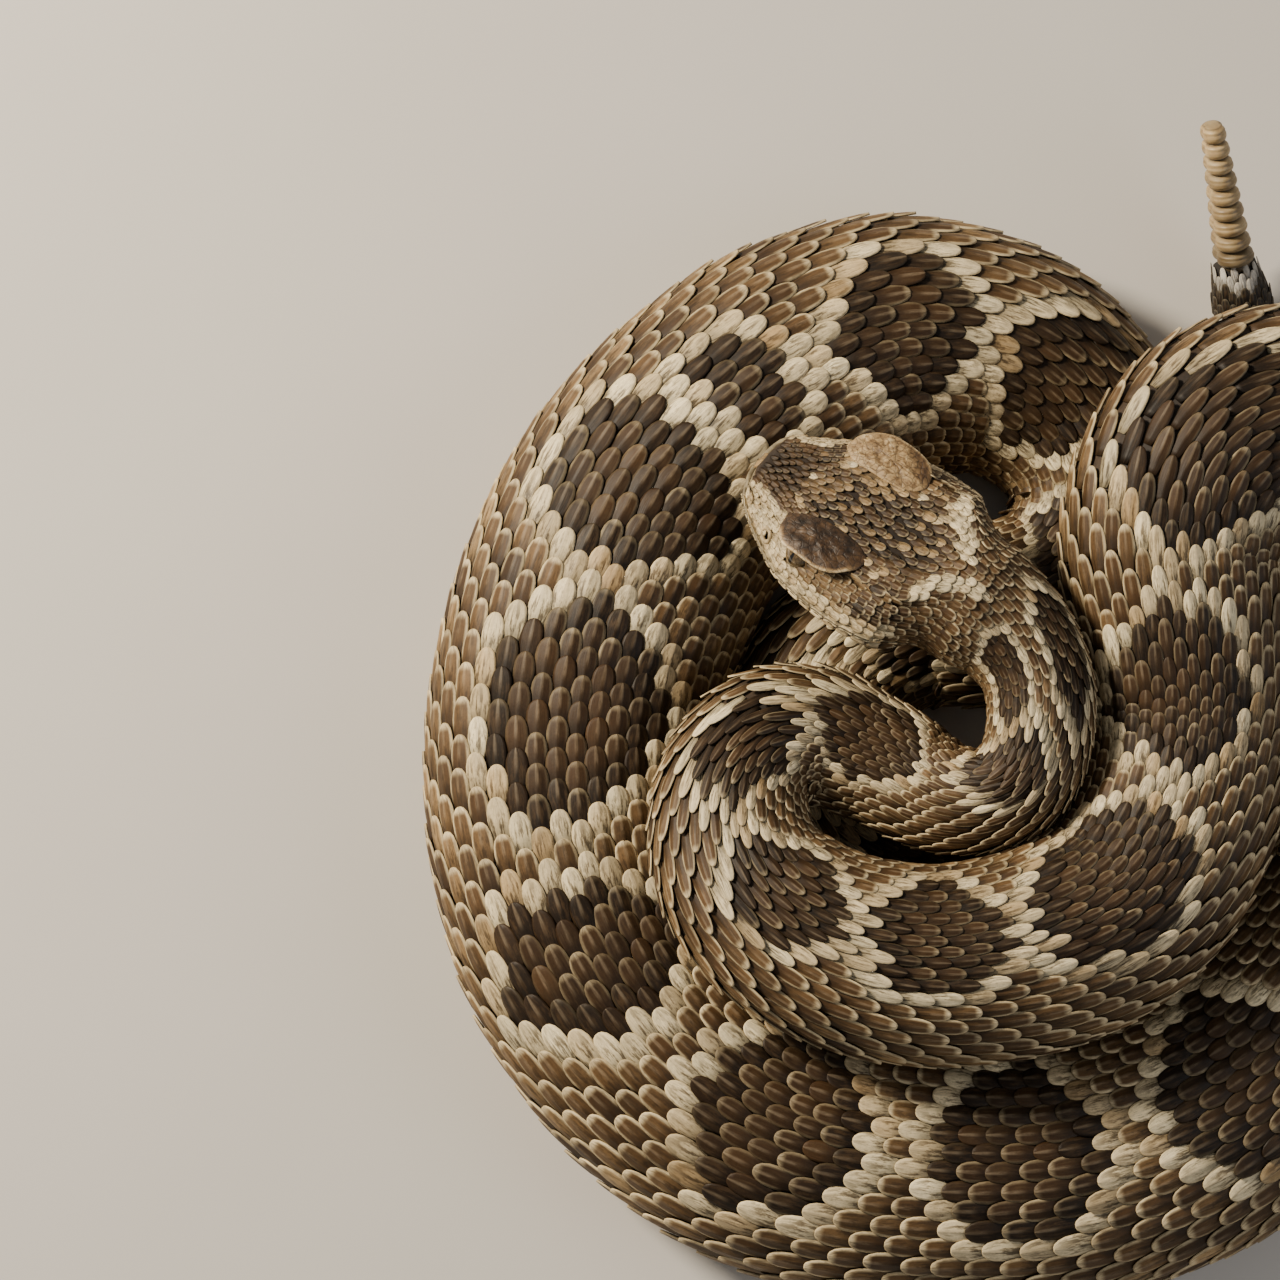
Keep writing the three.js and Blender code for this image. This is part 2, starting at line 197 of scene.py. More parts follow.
def station(distance):
    distance = np.asarray(distance, float)
    forward = belly_point(distance + 1) - belly_point(distance - 1)
    forward /= np.linalg.norm(forward, axis=-1, keepdims=True)
    right = np.cross(forward, (0, 0, 1.0))
    right /= np.linalg.norm(right, axis=-1, keepdims=True)
    return belly_point(distance), forward, right, np.cross(right, forward)


def in_section(distance, across, height):
    """A point of the body from its distance, and its place across and above the belly line."""
    origin, _, right, up = station(distance)
    pivot = ROLL_PIVOT * along(GIRTH, distance)
    roll = np.radians(along(ROLL, distance))
    u = across * np.cos(roll) - (height - pivot) * np.sin(roll)
    v = across * np.sin(roll) + (height - pivot) * np.cos(roll) + pivot
    return origin + right * u[..., None] + up * v[..., None]


def on_head(distance, across, height):
    """A single point in the section, from plain numbers."""
    return in_section(*(np.array(float(value)) for value in (distance, across, height)))


print("the snout starts at", np.round(on_head(0, 0, 0), 1), "mm")

# %% [markdown]
# The head has its own measures: how wide the lip and the crown are, and how high the mouth, the chin
# and the top lie, at each distance from the snout. Lips, the groove of the mouth and the flat crown are
# points of one outline, which melts into the body's section behind the jaw. The snout is closed by
# drawing the outline together like the end of an egg.

# %% Outline of head and body
LIP = [(0, 5), (1.5, 8), (4, 11), (7, 13.4), (12, 16.6), (18, 20), (24, 21.8), (30, 22.8), (38, 23),
       (44, 22), (49, 19.8), (56, 15)]
CROWN = [(0, 4), (1.5, 6.3), (5, 8.3), (9, 9.8), (14, 12), (20, 14.6), (27, 15.4), (34, 15.2), (44, 14.8),
         (50, 12.8), (56, 10.5)]
TOP = [(0, 8.5), (1.5, 10), (5, 11.3), (10, 12.3), (16, 13.8), (22, 15.2), (30, 16), (38, 17.2), (46, 19),
       (56, 21)]
MOUTH = [(0, 3.4), (6, 3), (22, 3.8), (38, 5.2), (50, 7), (56, 7)]
CHIN = [(0, 1.6), (3, 0.8), (10, 0.2), (20, 0), (56, 0)]
LIP_BAND, JAW_INSET, JAW_GAP = 2.7, 0.5, 0.35
SNOUT_ROUND = 2.6
NAPE = (42, 56)
JAW_MELT = (44, 54)
HALF_TURNS = np.array([0, 1, 2, 2.6, 3, 3.3, 3.6, 4, 5, 6, 7, 8, 9, 10])
SEAM_TURN = 3.3  # where the mouth closes
BELLY_EDGE = 2.0  # where the wide belly plates end


def soft_step(start, end, x):
    s = np.clip((x - start) / (end - start), 0, 1)
    return s * s * (3 - 2 * s)


half_section = np.array(HALF_SECTION)
body_across = smooth_along(np.arange(RIDGE + 1), half_section[:, 0], HALF_TURNS)
body_height = smooth_along(np.arange(RIDGE + 1), half_section[:, 1], HALF_TURNS)
is_lower = HALF_TURNS < SEAM_TURN + 0.1


def half_outline(distance):
    """The points of one half of the outline at each distance, from the belly's middle to the ridge."""
    half_width = along(GIRTH, distance)
    height = half_width * along(HEIGHT_SHARE, distance)
    body = np.stack([half_width[..., None] * body_across,
                     height[..., None] * np.maximum(body_height, 0)], -1)
    lip, crown, top, mouth, chin = (soft_table(t, distance) for t in (LIP, CROWN, TOP, MOUTH, CHIN))
    jaw = lip - JAW_INSET
    low = mouth - JAW_GAP
    chin = np.minimum(chin, low - 0.8)
    depth = low - chin
    side = np.maximum(mouth + LIP_BAND + 0.7, (mouth + LIP_BAND + top) / 2)
    nothing = 0 * lip
    head = np.stack([np.stack(point, -1) for point in (
        (nothing, chin), (0.45 * jaw, chin), (0.8 * jaw, chin + 0.12 * depth),
        (0.97 * jaw, chin + 0.5 * depth), (jaw, low - 0.15 * depth), (0.93 * lip, mouth + 0.1),
        (lip, mouth + 0.7), (lip, mouth + LIP_BAND), (lip - 0.8, mouth + LIP_BAND + 0.6),
        ((lip + crown) / 2 + 0.3, side), (crown + 0.8, top - 2.1), (crown, top - 0.6),
        (0.55 * crown, top + 0.2), (nothing, top))], -2)
    upper = soft_step(*NAPE, distance)[..., None]
    lower = soft_step(*JAW_MELT, distance)[..., None]
    blend = np.where(is_lower, lower, upper)[..., None]
    points = head + (body - head) * blend
    egg = np.sqrt(np.clip(1 - (1 - np.clip(distance, 0, SNOUT_ROUND) / SNOUT_ROUND) ** 2, 0, 1))
    middle = np.stack([nothing, (chin + top) / 2], -1)[..., None, :]
    closing = (egg < 1)[..., None, None]
    return np.where(closing, middle + (points - middle) * egg[..., None, None], points)


print("points in half an outline:", half_outline(np.array(30.0)).shape[0])

# %% [markdown]
# The outline joins the points of both halves to one soft curve round the body. It can be asked for any
# place on the skin, for the directions there, and for a point a little above or below the skin.

# %% Places on the skin
def outline(distance, turn):
    """Across and height at a turn: 0 in the middle of the belly, 10 on the ridge, negative on the right."""
    distance, turn = np.broadcast_arrays(np.asarray(distance, float), np.asarray(turn, float))
    over = np.abs(turn) > RIDGE
    half_turn = np.where(over, 2 * RIDGE - np.abs(turn), np.abs(turn))
    side = np.where(turn < 0, -1, 1) * np.where(over, -1, 1)
    points = half_outline(distance)
    knots = np.concatenate([[-HALF_TURNS[1]], HALF_TURNS, [2 * RIDGE - HALF_TURNS[-2]]])
    points = np.concatenate([points[..., 1:2, :] * (-1, 1), points, points[..., -2:-1, :] * (-1, 1)], -2)
    slope = np.gradient(points, knots, axis=-2)
    i = np.clip(np.searchsorted(knots, half_turn, side="right") - 1, 0, len(knots) - 2)
    width = (knots[i + 1] - knots[i])[..., None]
    s = ((half_turn - knots[i]) / width[..., 0])[..., None]

    def pick(values, index):
        return np.take_along_axis(values, index[..., None, None], -2)[..., 0, :]

    value = (pick(points, i) * (2 * s ** 3 - 3 * s ** 2 + 1)
             + pick(slope, i) * width * (s ** 3 - 2 * s ** 2 + s)
             + pick(points, i + 1) * (3 * s ** 2 - 2 * s ** 3)
             + pick(slope, i + 1) * width * (s ** 3 - s ** 2))
    return value[..., 0] * side, value[..., 1]


def surface(distance, turn):
    across, height = outline(distance, turn)
    distance = np.broadcast_to(distance, across.shape)
    return in_section(distance, across + along(LEAN, distance) * height, height)


def axes_on(distance, turn):
    """Unit vectors outwards and towards the tail, and how much the skin is stretched there."""
    reach, lean_over = 0.4, 0.08
    start = np.maximum(distance - reach, 0)
    tailwards = surface(distance + reach, turn) - surface(start, turn)
    tailwards /= (distance + reach - start)[..., None]
    around = surface(distance, turn + lean_over) - surface(distance, turn - lean_over)
    outwards = np.cross(tailwards, around)
    outwards /= np.maximum(np.linalg.norm(outwards, axis=-1, keepdims=True), 1e-9)
    stretch = np.linalg.norm(tailwards, axis=-1)
    return outwards, tailwards / stretch[..., None], stretch


def on_skin(distance, turn, lift):
    """A point that lies this high over the outline, or under it where the lift is negative."""
    distance, turn, lift = np.broadcast_arrays(*(np.asarray(v, float) for v in (distance, turn, lift)))
    return surface(distance, turn) + axes_on(distance, turn)[0] * lift[..., None]


print("widest point of the head:", round(float(2 * outline(36.0, 4.0)[0]), 1), "mm across")

# %% [markdown]
# The markings come before the skin, because skin and scales carry the same ones. Each dark blotch on
# the back is one line of measures: where its middle lies, its half length, and its half width and shift
# as shares of the back. Those that show in the picture are placed one by one, the hidden ones by a loop.
# A blotch is a rounded diamond, which one power of its two coordinates describes.

# %% Markings
BLOTCHES = [
    (95.5, 8, 0.32, 0.16), (135, 16.5, 0.34, 0.1), (168.5, 10.5, 0.28, 0.03), (202, 13.8, 0.27, -0.06),
    (238.5, 15.5, 0.3, -0.08), (280, 20.5, 0.34, -0.08), (332, 20, 0.34, -0.1), (746, 15.5, 0.32, -0.1),
    (799, 25, 0.31, -0.02), (851, 16.5, 0.34, -0.05), (884, 9, 0.22, -0.06), (922, 15, 0.33, 0),
    (963, 15, 0.36, 0), (1004, 14.5, 0.38, 0), (1046, 14, 0.39, 0), (1086, 13.5, 0.4, 0),
    (1124, 12.5, 0.41, 0), (1159, 11, 0.42, 0), (1191, 10, 0.43, 0),
]
HIDDEN_STRETCH, HIDDEN_COUNT, HIDDEN_SIZE = (332, 746), 7, (19, 0.34)
NAPE_PATCHES = [(74, 11, 0.17, -0.26), (74, 11, 0.17, 0.3)]
FLANK_SIZE = (10, 0.15)
FLANK_SHARE = 0.7
DIAMOND_POWER = 1.75

for step in range(1, HIDDEN_COUNT + 1):
    start, end = HIDDEN_STRETCH
    middle = start + (end - start) * step / (HIDDEN_COUNT + 1)
    BLOTCHES.append((middle, HIDDEN_SIZE[0], HIDDEN_SIZE[1], 0))
BLOTCHES.sort()


def diamond_field(distance, share, marks, power):
    """Below 1 inside the nearest mark, and above 1 outside all of them."""
    field = np.full(np.broadcast(distance, share).shape, 9.0)
    for middle, half_length, half_width, shift in marks:
        x = np.abs(distance - middle) / half_length
        y = np.abs(share - shift) / half_width
        field = np.minimum(field, (x ** power + y ** power) ** (1 / power))
    return field


FLANK_MARKS = []
for (one, *_), (other, *_) in zip(BLOTCHES, BLOTCHES[1:]):
    for side in (-1, 1):
        size = min(FLANK_SIZE[0], 0.3 * (other - one))
        FLANK_MARKS.append(((one + other) / 2, size, FLANK_SIZE[1], side * FLANK_SHARE))


def back_field(distance, share):
    field = diamond_field(distance, share, BLOTCHES, DIAMOND_POWER)
    return np.minimum(field, diamond_field(distance, share, NAPE_PATCHES, 2.2))


def flank_field(distance, share):
    return diamond_field(distance, share, FLANK_MARKS, 2.0)


print("blotches along the back:", len(BLOTCHES))

# %% [markdown]
# Every scale belongs to one colour class, which a number called tone stands for: dark brown inside a
# blotch, nearly black along its rim, cream round it, olive brown between, and paler towards the belly.
# A second number tells how strongly the pale edge of the scale shows. The skin reads the same numbers.

# %% Tones
TONE = {"rim": 0.01, "blotch": 0.10, "between": 0.26, "flank_mark": 0.17, "flank": 0.38, "low": 0.56,
        "border": 0.84}
OUTLINE = {"rim": 0.05, "blotch": 0.16, "between": 0.85, "flank_mark": 0.85, "flank": 0.8, "low": 0.5,
           "border": 0.3}
LOW_SHARE = 0.84


def skin_tone(distance, share):
    tone = np.where(np.abs(share) > LOW_SHARE, TONE["low"], TONE["between"])
    tone = np.where(flank_field(distance, share) < 1, TONE["flank_mark"], tone)
    return np.where(back_field(distance, share) < 1.1, TONE["blotch"], tone)


print("colour classes:", sorted(TONE))

# %% [markdown]
# A row of scales follows a line along the body, so a scale is known by its distance and by its share
# of the way from the ridge down to the belly plates. This cell turns that share into a turn of the
# outline, by measuring along the section.

# %% Shares of the side
def side_table(distance, samples=41):
    turns = np.linspace(RIDGE, BELLY_EDGE, samples)
    across, height = outline(np.asarray(distance, float)[..., None], turns)
    steps = np.hypot(np.diff(across, axis=-1), np.diff(height, axis=-1))
    run = np.concatenate([np.zeros(steps.shape[:-1] + (1,)), np.cumsum(steps, axis=-1)], -1)
    return turns, run


def turn_at(distance, share):
    """The turn at a share of the side, and the length of the side in millimetres."""
    distance, share = np.broadcast_arrays(np.asarray(distance, float), np.asarray(share, float))
    turns, run = side_table(distance)
    wanted = np.abs(share) * run[..., -1]
    i = np.clip((run < wanted[..., None]).sum(-1), 1, len(turns) - 1)
    low = np.take_along_axis(run, (i - 1)[..., None], -1)[..., 0]
    high = np.take_along_axis(run, i[..., None], -1)[..., 0]
    part = (wanted - low) / np.maximum(high - low, 1e-9)
    turn = turns[i - 1] + (turns[i] - turns[i - 1]) * part
    return np.where(share < 0, -turn, turn), run[..., -1]


def share_of(distance, turn):
    """The share of the side at a turn, past 1 under the belly."""
    turns, run = side_table(distance)
    part = np.clip((RIDGE - np.abs(turn)) / (RIDGE - BELLY_EDGE), 0, 1) * (len(turns) - 1)
    i = np.clip(part.astype(int), 0, len(turns) - 2)
    low = np.take_along_axis(run, i[..., None], -1)[..., 0]
    high = np.take_along_axis(run, (i + 1)[..., None], -1)[..., 0]
    share = (low + (high - low) * (part - i)) / run[..., -1]
    return np.sign(turn) * (share + (np.abs(turn) < BELLY_EDGE) * 0.2)


print("side at mid-body:", round(float(turn_at(700.0, 1.0)[1]), 1), "mm from ridge to belly plates")

# %% [markdown]
# Every visible surface is a mesh made from points in millimetres and faces between them. These helpers
# make one, store a value for each of its points, and write OFBake, the map that finishes are baked
# through.

# %% Mesh helpers
def mesh_object(name, points, faces, material, smooth=True):
    """A piece of the scene from points in millimetres and faces between them."""
    mesh = bpy.data.meshes.new(name)
    mesh.from_pydata([tuple(p) for p in np.asarray(points) * MM], [], faces)
    mesh.materials.append(material)
    mesh.polygons.foreach_set("use_smooth", [smooth] * len(mesh.polygons))
    piece = bpy.data.objects.new(name, mesh)
    bpy.context.scene.collection.objects.link(piece)
    return piece


def shell_object(name, points, faces, material):
    """A mesh of closed shells, with every face turned outwards."""
    piece = mesh_object(name, points, faces, material)
    shells = bmesh.new()
    shells.from_mesh(piece.data)
    bmesh.ops.recalc_face_normals(shells, faces=shells.faces)
    shells.to_mesh(piece.data)
    shells.free()
    return piece


def store(mesh, name, values, kind="FLOAT"):
    field = {"FLOAT": "value", "FLOAT_VECTOR": "vector"}[kind]
    mesh.attributes.new(name, kind, "POINT").data.foreach_set(field, np.asarray(values, float).ravel())


def store_horn(mesh, leaf, tone, outline, shade):
    """The place on the leaf and the three shares that the scale finish reads."""
    store(mesh, "leaf", leaf, "FLOAT_VECTOR")
    for name, values in (("tone", tone), ("outline", outline), ("shade", shade)):
        store(mesh, name, values)


def corner_points(mesh):
    """The number of the point at each corner of each face."""
    numbers = np.empty(len(mesh.loops), int)
    mesh.loops.foreach_get("vertex_index", numbers)
    return numbers


def store_map(mesh, corner_places):
    mesh.uv_layers.new(name="OFBake").data.foreach_set("uv", np.asarray(corner_places).ravel())


print("metres in one millimetre:", MM)

# %% [markdown]
# Faces come from the numbers of their points. These helpers join a grid, a ring, a dome or a thin shell
# of points, which is all that the snake needs.

# %% Faces between points
def grid_faces(rows, count, first=0, ring=False):
    """Faces between rows of points, closed round where each row is a ring."""
    faces = []
    for r in range(rows - 1):
        for k in range(count if ring else count - 1):
            near, beside = first + r * count + k, first + r * count + (k + 1) % count
            faces.append((near, beside, beside + count, near + count))
    return faces


def loft_faces(rings, count):
    """Faces of a closed loft through rings of points."""
    ends = [tuple(range(count))[::-1], tuple((rings - 1) * count + k for k in range(count))]
    return grid_faces(rings, count, ring=True) + ends


def dome_faces(first, rings, count):
    """Faces of a dome: its top point comes first, and then the rings of points round it."""
    fan = [(first, first + 1 + k, first + 1 + (k + 1) % count) for k in range(count)]
    return fan + [(a, d, c, b) for a, b, c, d in grid_faces(rings, count, first + 1, ring=True)]


def shell_faces(rows, count, first):
    """Faces of a closed shell: an upper sheet, a lower sheet behind it and the wall between."""
    top = grid_faces(rows, count, first)
    shift = rows * count
    under = [tuple(v + shift for v in face[::-1]) for face in top]
    rim = [first + k for k in range(count)] + [first + r * count + count - 1 for r in range(1, rows)]
    rim += [first + (rows - 1) * count + k for k in range(count - 2, -1, -1)]
    rim += [first + r * count for r in range(rows - 2, 0, -1)]
    wall = [(b, a, a + shift, b + shift) for a, b in zip(rim, rim[1:] + rim[:1])]
    return top + under + wall


print("faces of a grid of 3 by 4 points:", len(grid_faces(3, 4)))

# %% [markdown]
# Snake skin is dull horn over a darker ground. The finishes share one way of working: an attribute
# picks the ground colour, fine noise breaks it up, and the same noise roughens the surface. Colours are
# in linear red, green and blue.

# %% Colour helpers
PALE_HORN = (0.66, 0.54, 0.33, 1)
COAT_COLOURS = [
    (0.00, (0.013, 0.007, 0.003, 1)), (0.10, (0.036, 0.018, 0.007, 1)), (0.20, (0.072, 0.037, 0.014, 1)),
    (0.34, (0.136, 0.080, 0.034, 1)), (0.50, (0.235, 0.148, 0.066, 1)), (0.66, (0.40, 0.275, 0.135, 1)),
    (0.84, (0.70, 0.585, 0.37, 1)), (1.00, (0.80, 0.69, 0.45, 1)),
]


def new_material(name):
    material = bpy.data.materials.new(name)
    material.use_nodes = True
    return material, material.node_tree, material.node_tree.nodes["Principled BSDF"]


def add_node(tree, kind, inputs=(), **settings):
    """A node with its settings and its inputs, each a number, a colour or the socket that feeds it."""
    node = tree.nodes.new(kind)
    for key, value in settings.items():
        setattr(node, key, value)
    for key, value in dict(inputs).items():
        if isinstance(value, bpy.types.NodeSocket):
            tree.links.new(value, node.inputs[key])
        else:
            node.inputs[key].default_value = value
    return node


def maths(tree, operation, *values):
    return add_node(tree, "ShaderNodeMath", enumerate(values), operation=operation).outputs[0]


def remap(tree, value, low, high, to_low=0.0, to_high=1.0, kind="SMOOTHSTEP"):
    inputs = {"Value": value, "From Min": low, "From Max": high, "To Min": to_low, "To Max": to_high}
    return add_node(tree, "ShaderNodeMapRange", inputs, interpolation_type=kind).outputs["Result"]


def blend_colour(tree, factor, first, second, way="MIX"):
    return add_node(tree, "ShaderNodeMix", {0: factor, 6: first, 7: second}, data_type="RGBA",
                    blend_type=way).outputs[2]


def read_attribute(tree, name, output="Fac"):
    return add_node(tree, "ShaderNodeAttribute", attribute_name=name).outputs[output]


def noise(tree, vector, scale, detail=3.0, roughness=0.55):
    return add_node(tree, "ShaderNodeTexNoise", {"Vector": vector, "Scale": scale, "Detail": detail,
                                                 "Roughness": roughness}).outputs["Fac"]


def colour_ramp(tree, value, stops):
    ramp = add_node(tree, "ShaderNodeValToRGB", {"Fac": value})
    elements = ramp.color_ramp.elements
    while len(elements) < len(stops):
        elements.new(0.5)
    for element, (place, colour) in zip(elements, stops):
        element.position = place
        element.color = colour
    return ramp.outputs["Color"]


def clouded_tone(tree, clouds, spread):
    """The stored tone, moved up and down by noise."""
    return maths(tree, "ADD", read_attribute(tree, "tone"), remap(tree, clouds, *spread, "LINEAR"))


def shaded(tree, colour, light):
    """The colour times a grey value."""
    grey = add_node(tree, "ShaderNodeCombineColor", {0: light, 1: light, 2: light}).outputs[0]
    return blend_colour(tree, 1.0, colour, grey, "MULTIPLY")


def dress(tree, shader, colour, roughness, height, strength, depth):
    """Gives a shader its colour, its roughness and a bump that is this many metres deep."""
    tree.links.new(colour, shader.inputs["Base Color"])
    if isinstance(roughness, float):
        shader.inputs["Roughness"].default_value = roughness
    else:
        tree.links.new(roughness, shader.inputs["Roughness"])
    bump = add_node(tree, "ShaderNodeBump", {"Height": height, "Strength": strength, "Distance": depth})
    tree.links.new(bump.outputs[0], shader.inputs["Normal"])


print("colours on the coat:", len(COAT_COLOURS))

# %% [markdown]
# One scale is a keeled leaf of horn. Its material knows the place on the leaf, from edge to edge and
# from root to tip, so that it can draw the pale edge and the fine lengthwise grain that real scales
# show, a painted highlight along the keel, and painted shade towards the root, where the scale slips
# under the one in front. Dirt and wear vary from scale to scale and in broad clouds over the body.

# %% Scale finish
# The first colour is a painted highlight along the keel, the second that of the dark flecks.
KEEL_HIGHLIGHT_COLOUR, FLECK_COLOUR = (0.36, 0.28, 0.185, 1), (0.05, 0.029, 0.013, 1)
MOTTLE = 0.85  # how much of its own colour a dark fleck near the root takes from a scale


def scale_finish(name, stops, keel_highlight=0.27, roughness=0.5):
    material, tree, shader = new_material(name)
    here = add_node(tree, "ShaderNodeTexCoord").outputs["Object"]
    x, y, _ = add_node(tree, "ShaderNodeSeparateXYZ", {0: read_attribute(tree, "leaf", "Vector")}).outputs
    across = maths(tree, "ABSOLUTE", x)
    shade = read_attribute(tree, "shade")
    offset = maths(tree, "MULTIPLY", shade, 37.0)

    def streaks(stretch, *settings):
        """Noise drawn out along the leaf, and different for each scale."""
        place = add_node(tree, "ShaderNodeCombineXYZ",
                         {0: maths(tree, "MULTIPLY", x, stretch), 1: y, 2: offset})
        return noise(tree, place.outputs[0], *settings)

    clouds, speckle = noise(tree, here, 55.0, 2.0), noise(tree, here, 1500.0, 4.0, 0.65)
    grain = streaks(5.0, 2.4, 3.0, 0.6)
    ground = colour_ramp(tree, clouded_tone(tree, clouds, (0.3, 0.7, -0.03, 0.03)), stops)
    # Painted highlight: a pale streak down the keel, strongest towards the tip.
    keel = maths(tree, "MULTIPLY", remap(tree, across, 0.05, 0.26, 1.0, 0.0), remap(tree, y, 0.35, 0.7))
    colour = blend_colour(tree, maths(tree, "MULTIPLY", keel, keel_highlight), ground, KEEL_HIGHLIGHT_COLOUR)
    mottle = remap(tree, streaks(1.5, 2.1, 5.0, 0.7), 0.45, 0.6)
    rootwards = remap(tree, y, 0.45, 0.95, MOTTLE, 0.4 * MOTTLE)
    colour = blend_colour(tree, maths(tree, "MULTIPLY", mottle, rootwards), colour, FLECK_COLOUR)
    edge = maths(tree, "MAXIMUM", remap(tree, across, 0.62, 0.95), remap(tree, y, 0.80, 0.96))
    for share in (remap(tree, y, 0.28, 0.5), read_attribute(tree, "outline"),
                  remap(tree, mottle, 0.0, 1.0, 1.0, 0.5, "LINEAR")):
        edge = maths(tree, "MULTIPLY", edge, share)
    colour = blend_colour(tree, edge, colour, PALE_HORN)
    grey_factor = maths(tree, "ADD", remap(tree, grain, 0.25, 0.75, 0.74, 1.24, "LINEAR"),
                 remap(tree, speckle, 0.3, 0.7, -0.12, 0.12, "LINEAR"))
    grey_factor = maths(tree, "MULTIPLY", grey_factor, remap(tree, shade, 0.0, 1.0, 0.8, 1.2, "LINEAR"))
    # Painted shade: darker towards the root, where the scale slips under the one in front. The grain,
    # speckle and change from scale to scale above are the scale's own.
    grey_factor = maths(tree, "MULTIPLY", grey_factor, remap(tree, y, 0.2, 0.62, 0.5, 1.0))
    dress(tree, shader, shaded(tree, colour, grey_factor),
          remap(tree, grain, 0.2, 0.8, roughness - 0.08, roughness + 0.14, "LINEAR"),
          maths(tree, "ADD", grain, maths(tree, "MULTIPLY", speckle, 0.6)), 0.35, 0.00012)
    shader.inputs["Specular IOR Level"].default_value = 0.24
    return material


def skin_finish(name):
    material, tree, shader = new_material(name)
    here = add_node(tree, "ShaderNodeTexCoord").outputs["Object"]
    fine = noise(tree, here, 900.0, 4.0, 0.6)
    ground = colour_ramp(tree, read_attribute(tree, "tone"), COAT_COLOURS)
    # Painted shade: the skin shows only in the narrow gaps between scales, so its colour is darkened to
    # between a fifth and a half.
    dark = remap(tree, fine, 0.3, 0.7, 0.22, 0.5, "LINEAR")
    dress(tree, shader, shaded(tree, ground, dark), 0.72, fine, 0.4, 0.0002)
    return material


SKIN_BETWEEN = skin_finish("skin_between_scales")
BACK_SCALES = scale_finish("keeled_scales", COAT_COLOURS)
print("finishes:", SKIN_BETWEEN.name, BACK_SCALES.name)

# %% [markdown]
# One skin runs from the snout to the rattle without a seam. It is a loft of closed rings, lying a
# little under the outline, so that the scales on it fill the true size. The rings stand closer on the
# head, where lips and brows need them. Its map unrolls it in strips of body length, one above the other.

# %% Skin
COAT_DEPTH, SNOUT_DEPTH = 0.75, 0.5
SKIN_OVER_FLOOR = 0.25
SKIN_TURNS = np.concatenate([[0, 0.6, 1.2, 1.7, 2, 2.3, 2.6, 2.8, 3, 3.15, 3.3, 3.45, 3.6, 3.8],
                             np.arange(4, RIDGE + 0.1, 0.3)])
SKIN_TURNS = np.concatenate([SKIN_TURNS, -SKIN_TURNS[1:-1][::-1]])
SKIN_STATIONS = np.concatenate([[0.03, 0.15, 0.4, 0.8, 1.3, 1.9], np.arange(2.6, 62, 0.9),
                                np.arange(62.5, BODY_LENGTH - 0.5, 2.3), [BODY_LENGTH - 0.2]])
STRIPS = 6
STRIP_LENGTH = BODY_LENGTH / STRIPS

grid_distance, grid_turn = np.meshgrid(SKIN_STATIONS, SKIN_TURNS, indexing="ij")
skin_depth = np.where(grid_distance < SNOUT_ROUND, SNOUT_DEPTH, COAT_DEPTH)
skin_points = on_skin(grid_distance, grid_turn, -skin_depth)
skin_points[..., 2] = np.maximum(skin_points[..., 2], SKIN_OVER_FLOOR)
skin_points = skin_points.reshape(-1, 3)
grid_distance, grid_turn = grid_distance.ravel(), grid_turn.ravel()
skin = mesh_object("snake_skin", skin_points, loft_faces(len(SKIN_STATIONS), len(SKIN_TURNS)), SKIN_BETWEEN)
skin.data.flip_normals()


def unroll_skin(mesh):
    """Gives the skin its map, one face at a time, so that no face is torn across two strips."""
    corners = corner_points(mesh)
    places = np.empty((len(corners), 2))
    for face in mesh.polygons:
        own = slice(face.loop_start, face.loop_start + face.loop_total)
        if face.loop_total > 4:
            places[own] = (0.005, 0.005)
            continue
        distance, turn = grid_distance[corners[own]], grid_turn[corners[own]]
        if turn.max() - turn.min() > RIDGE:
            turn[turn > 0] -= 2 * RIDGE
        strip = min(int(distance.min() / STRIP_LENGTH), STRIPS - 1)
        u = 0.02 + 0.96 * (distance / STRIP_LENGTH - strip)
        v = (strip + 0.05 + 0.9 * (turn + RIDGE) / (2 * RIDGE)) / STRIPS
        places[own] = np.stack([u, v], -1)
    store_map(mesh, places)


unroll_skin(skin.data)
print("skin faces:", len(skin.data.polygons))

# %% [markdown]
# One scale, modelled once: a leaf of unit width and length with a ridge along its middle, its root at
# zero and its free tip at one. It has few faces, because thousands of copies will lie on the body. Every
# point keeps its place on the leaf as an attribute, which the finish reads.

# %% One scale
LEAF_STATIONS = [0.0, 0.16, 0.36, 0.56, 0.74, 0.88, 0.97, 1.0]
LEAF_WIDTHS = [0.50, 0.76, 0.95, 1.0, 0.93, 0.74, 0.44, 0.16]
LEAF_ACROSS = [-1.0, -0.76, -0.2, 0.0, 0.2, 0.76, 1.0]
LEAF_DOME = [0.1, 0.66, 0.9, 1.0, 0.9, 0.66, 0.1]
LEAF_UNDER = -0.35


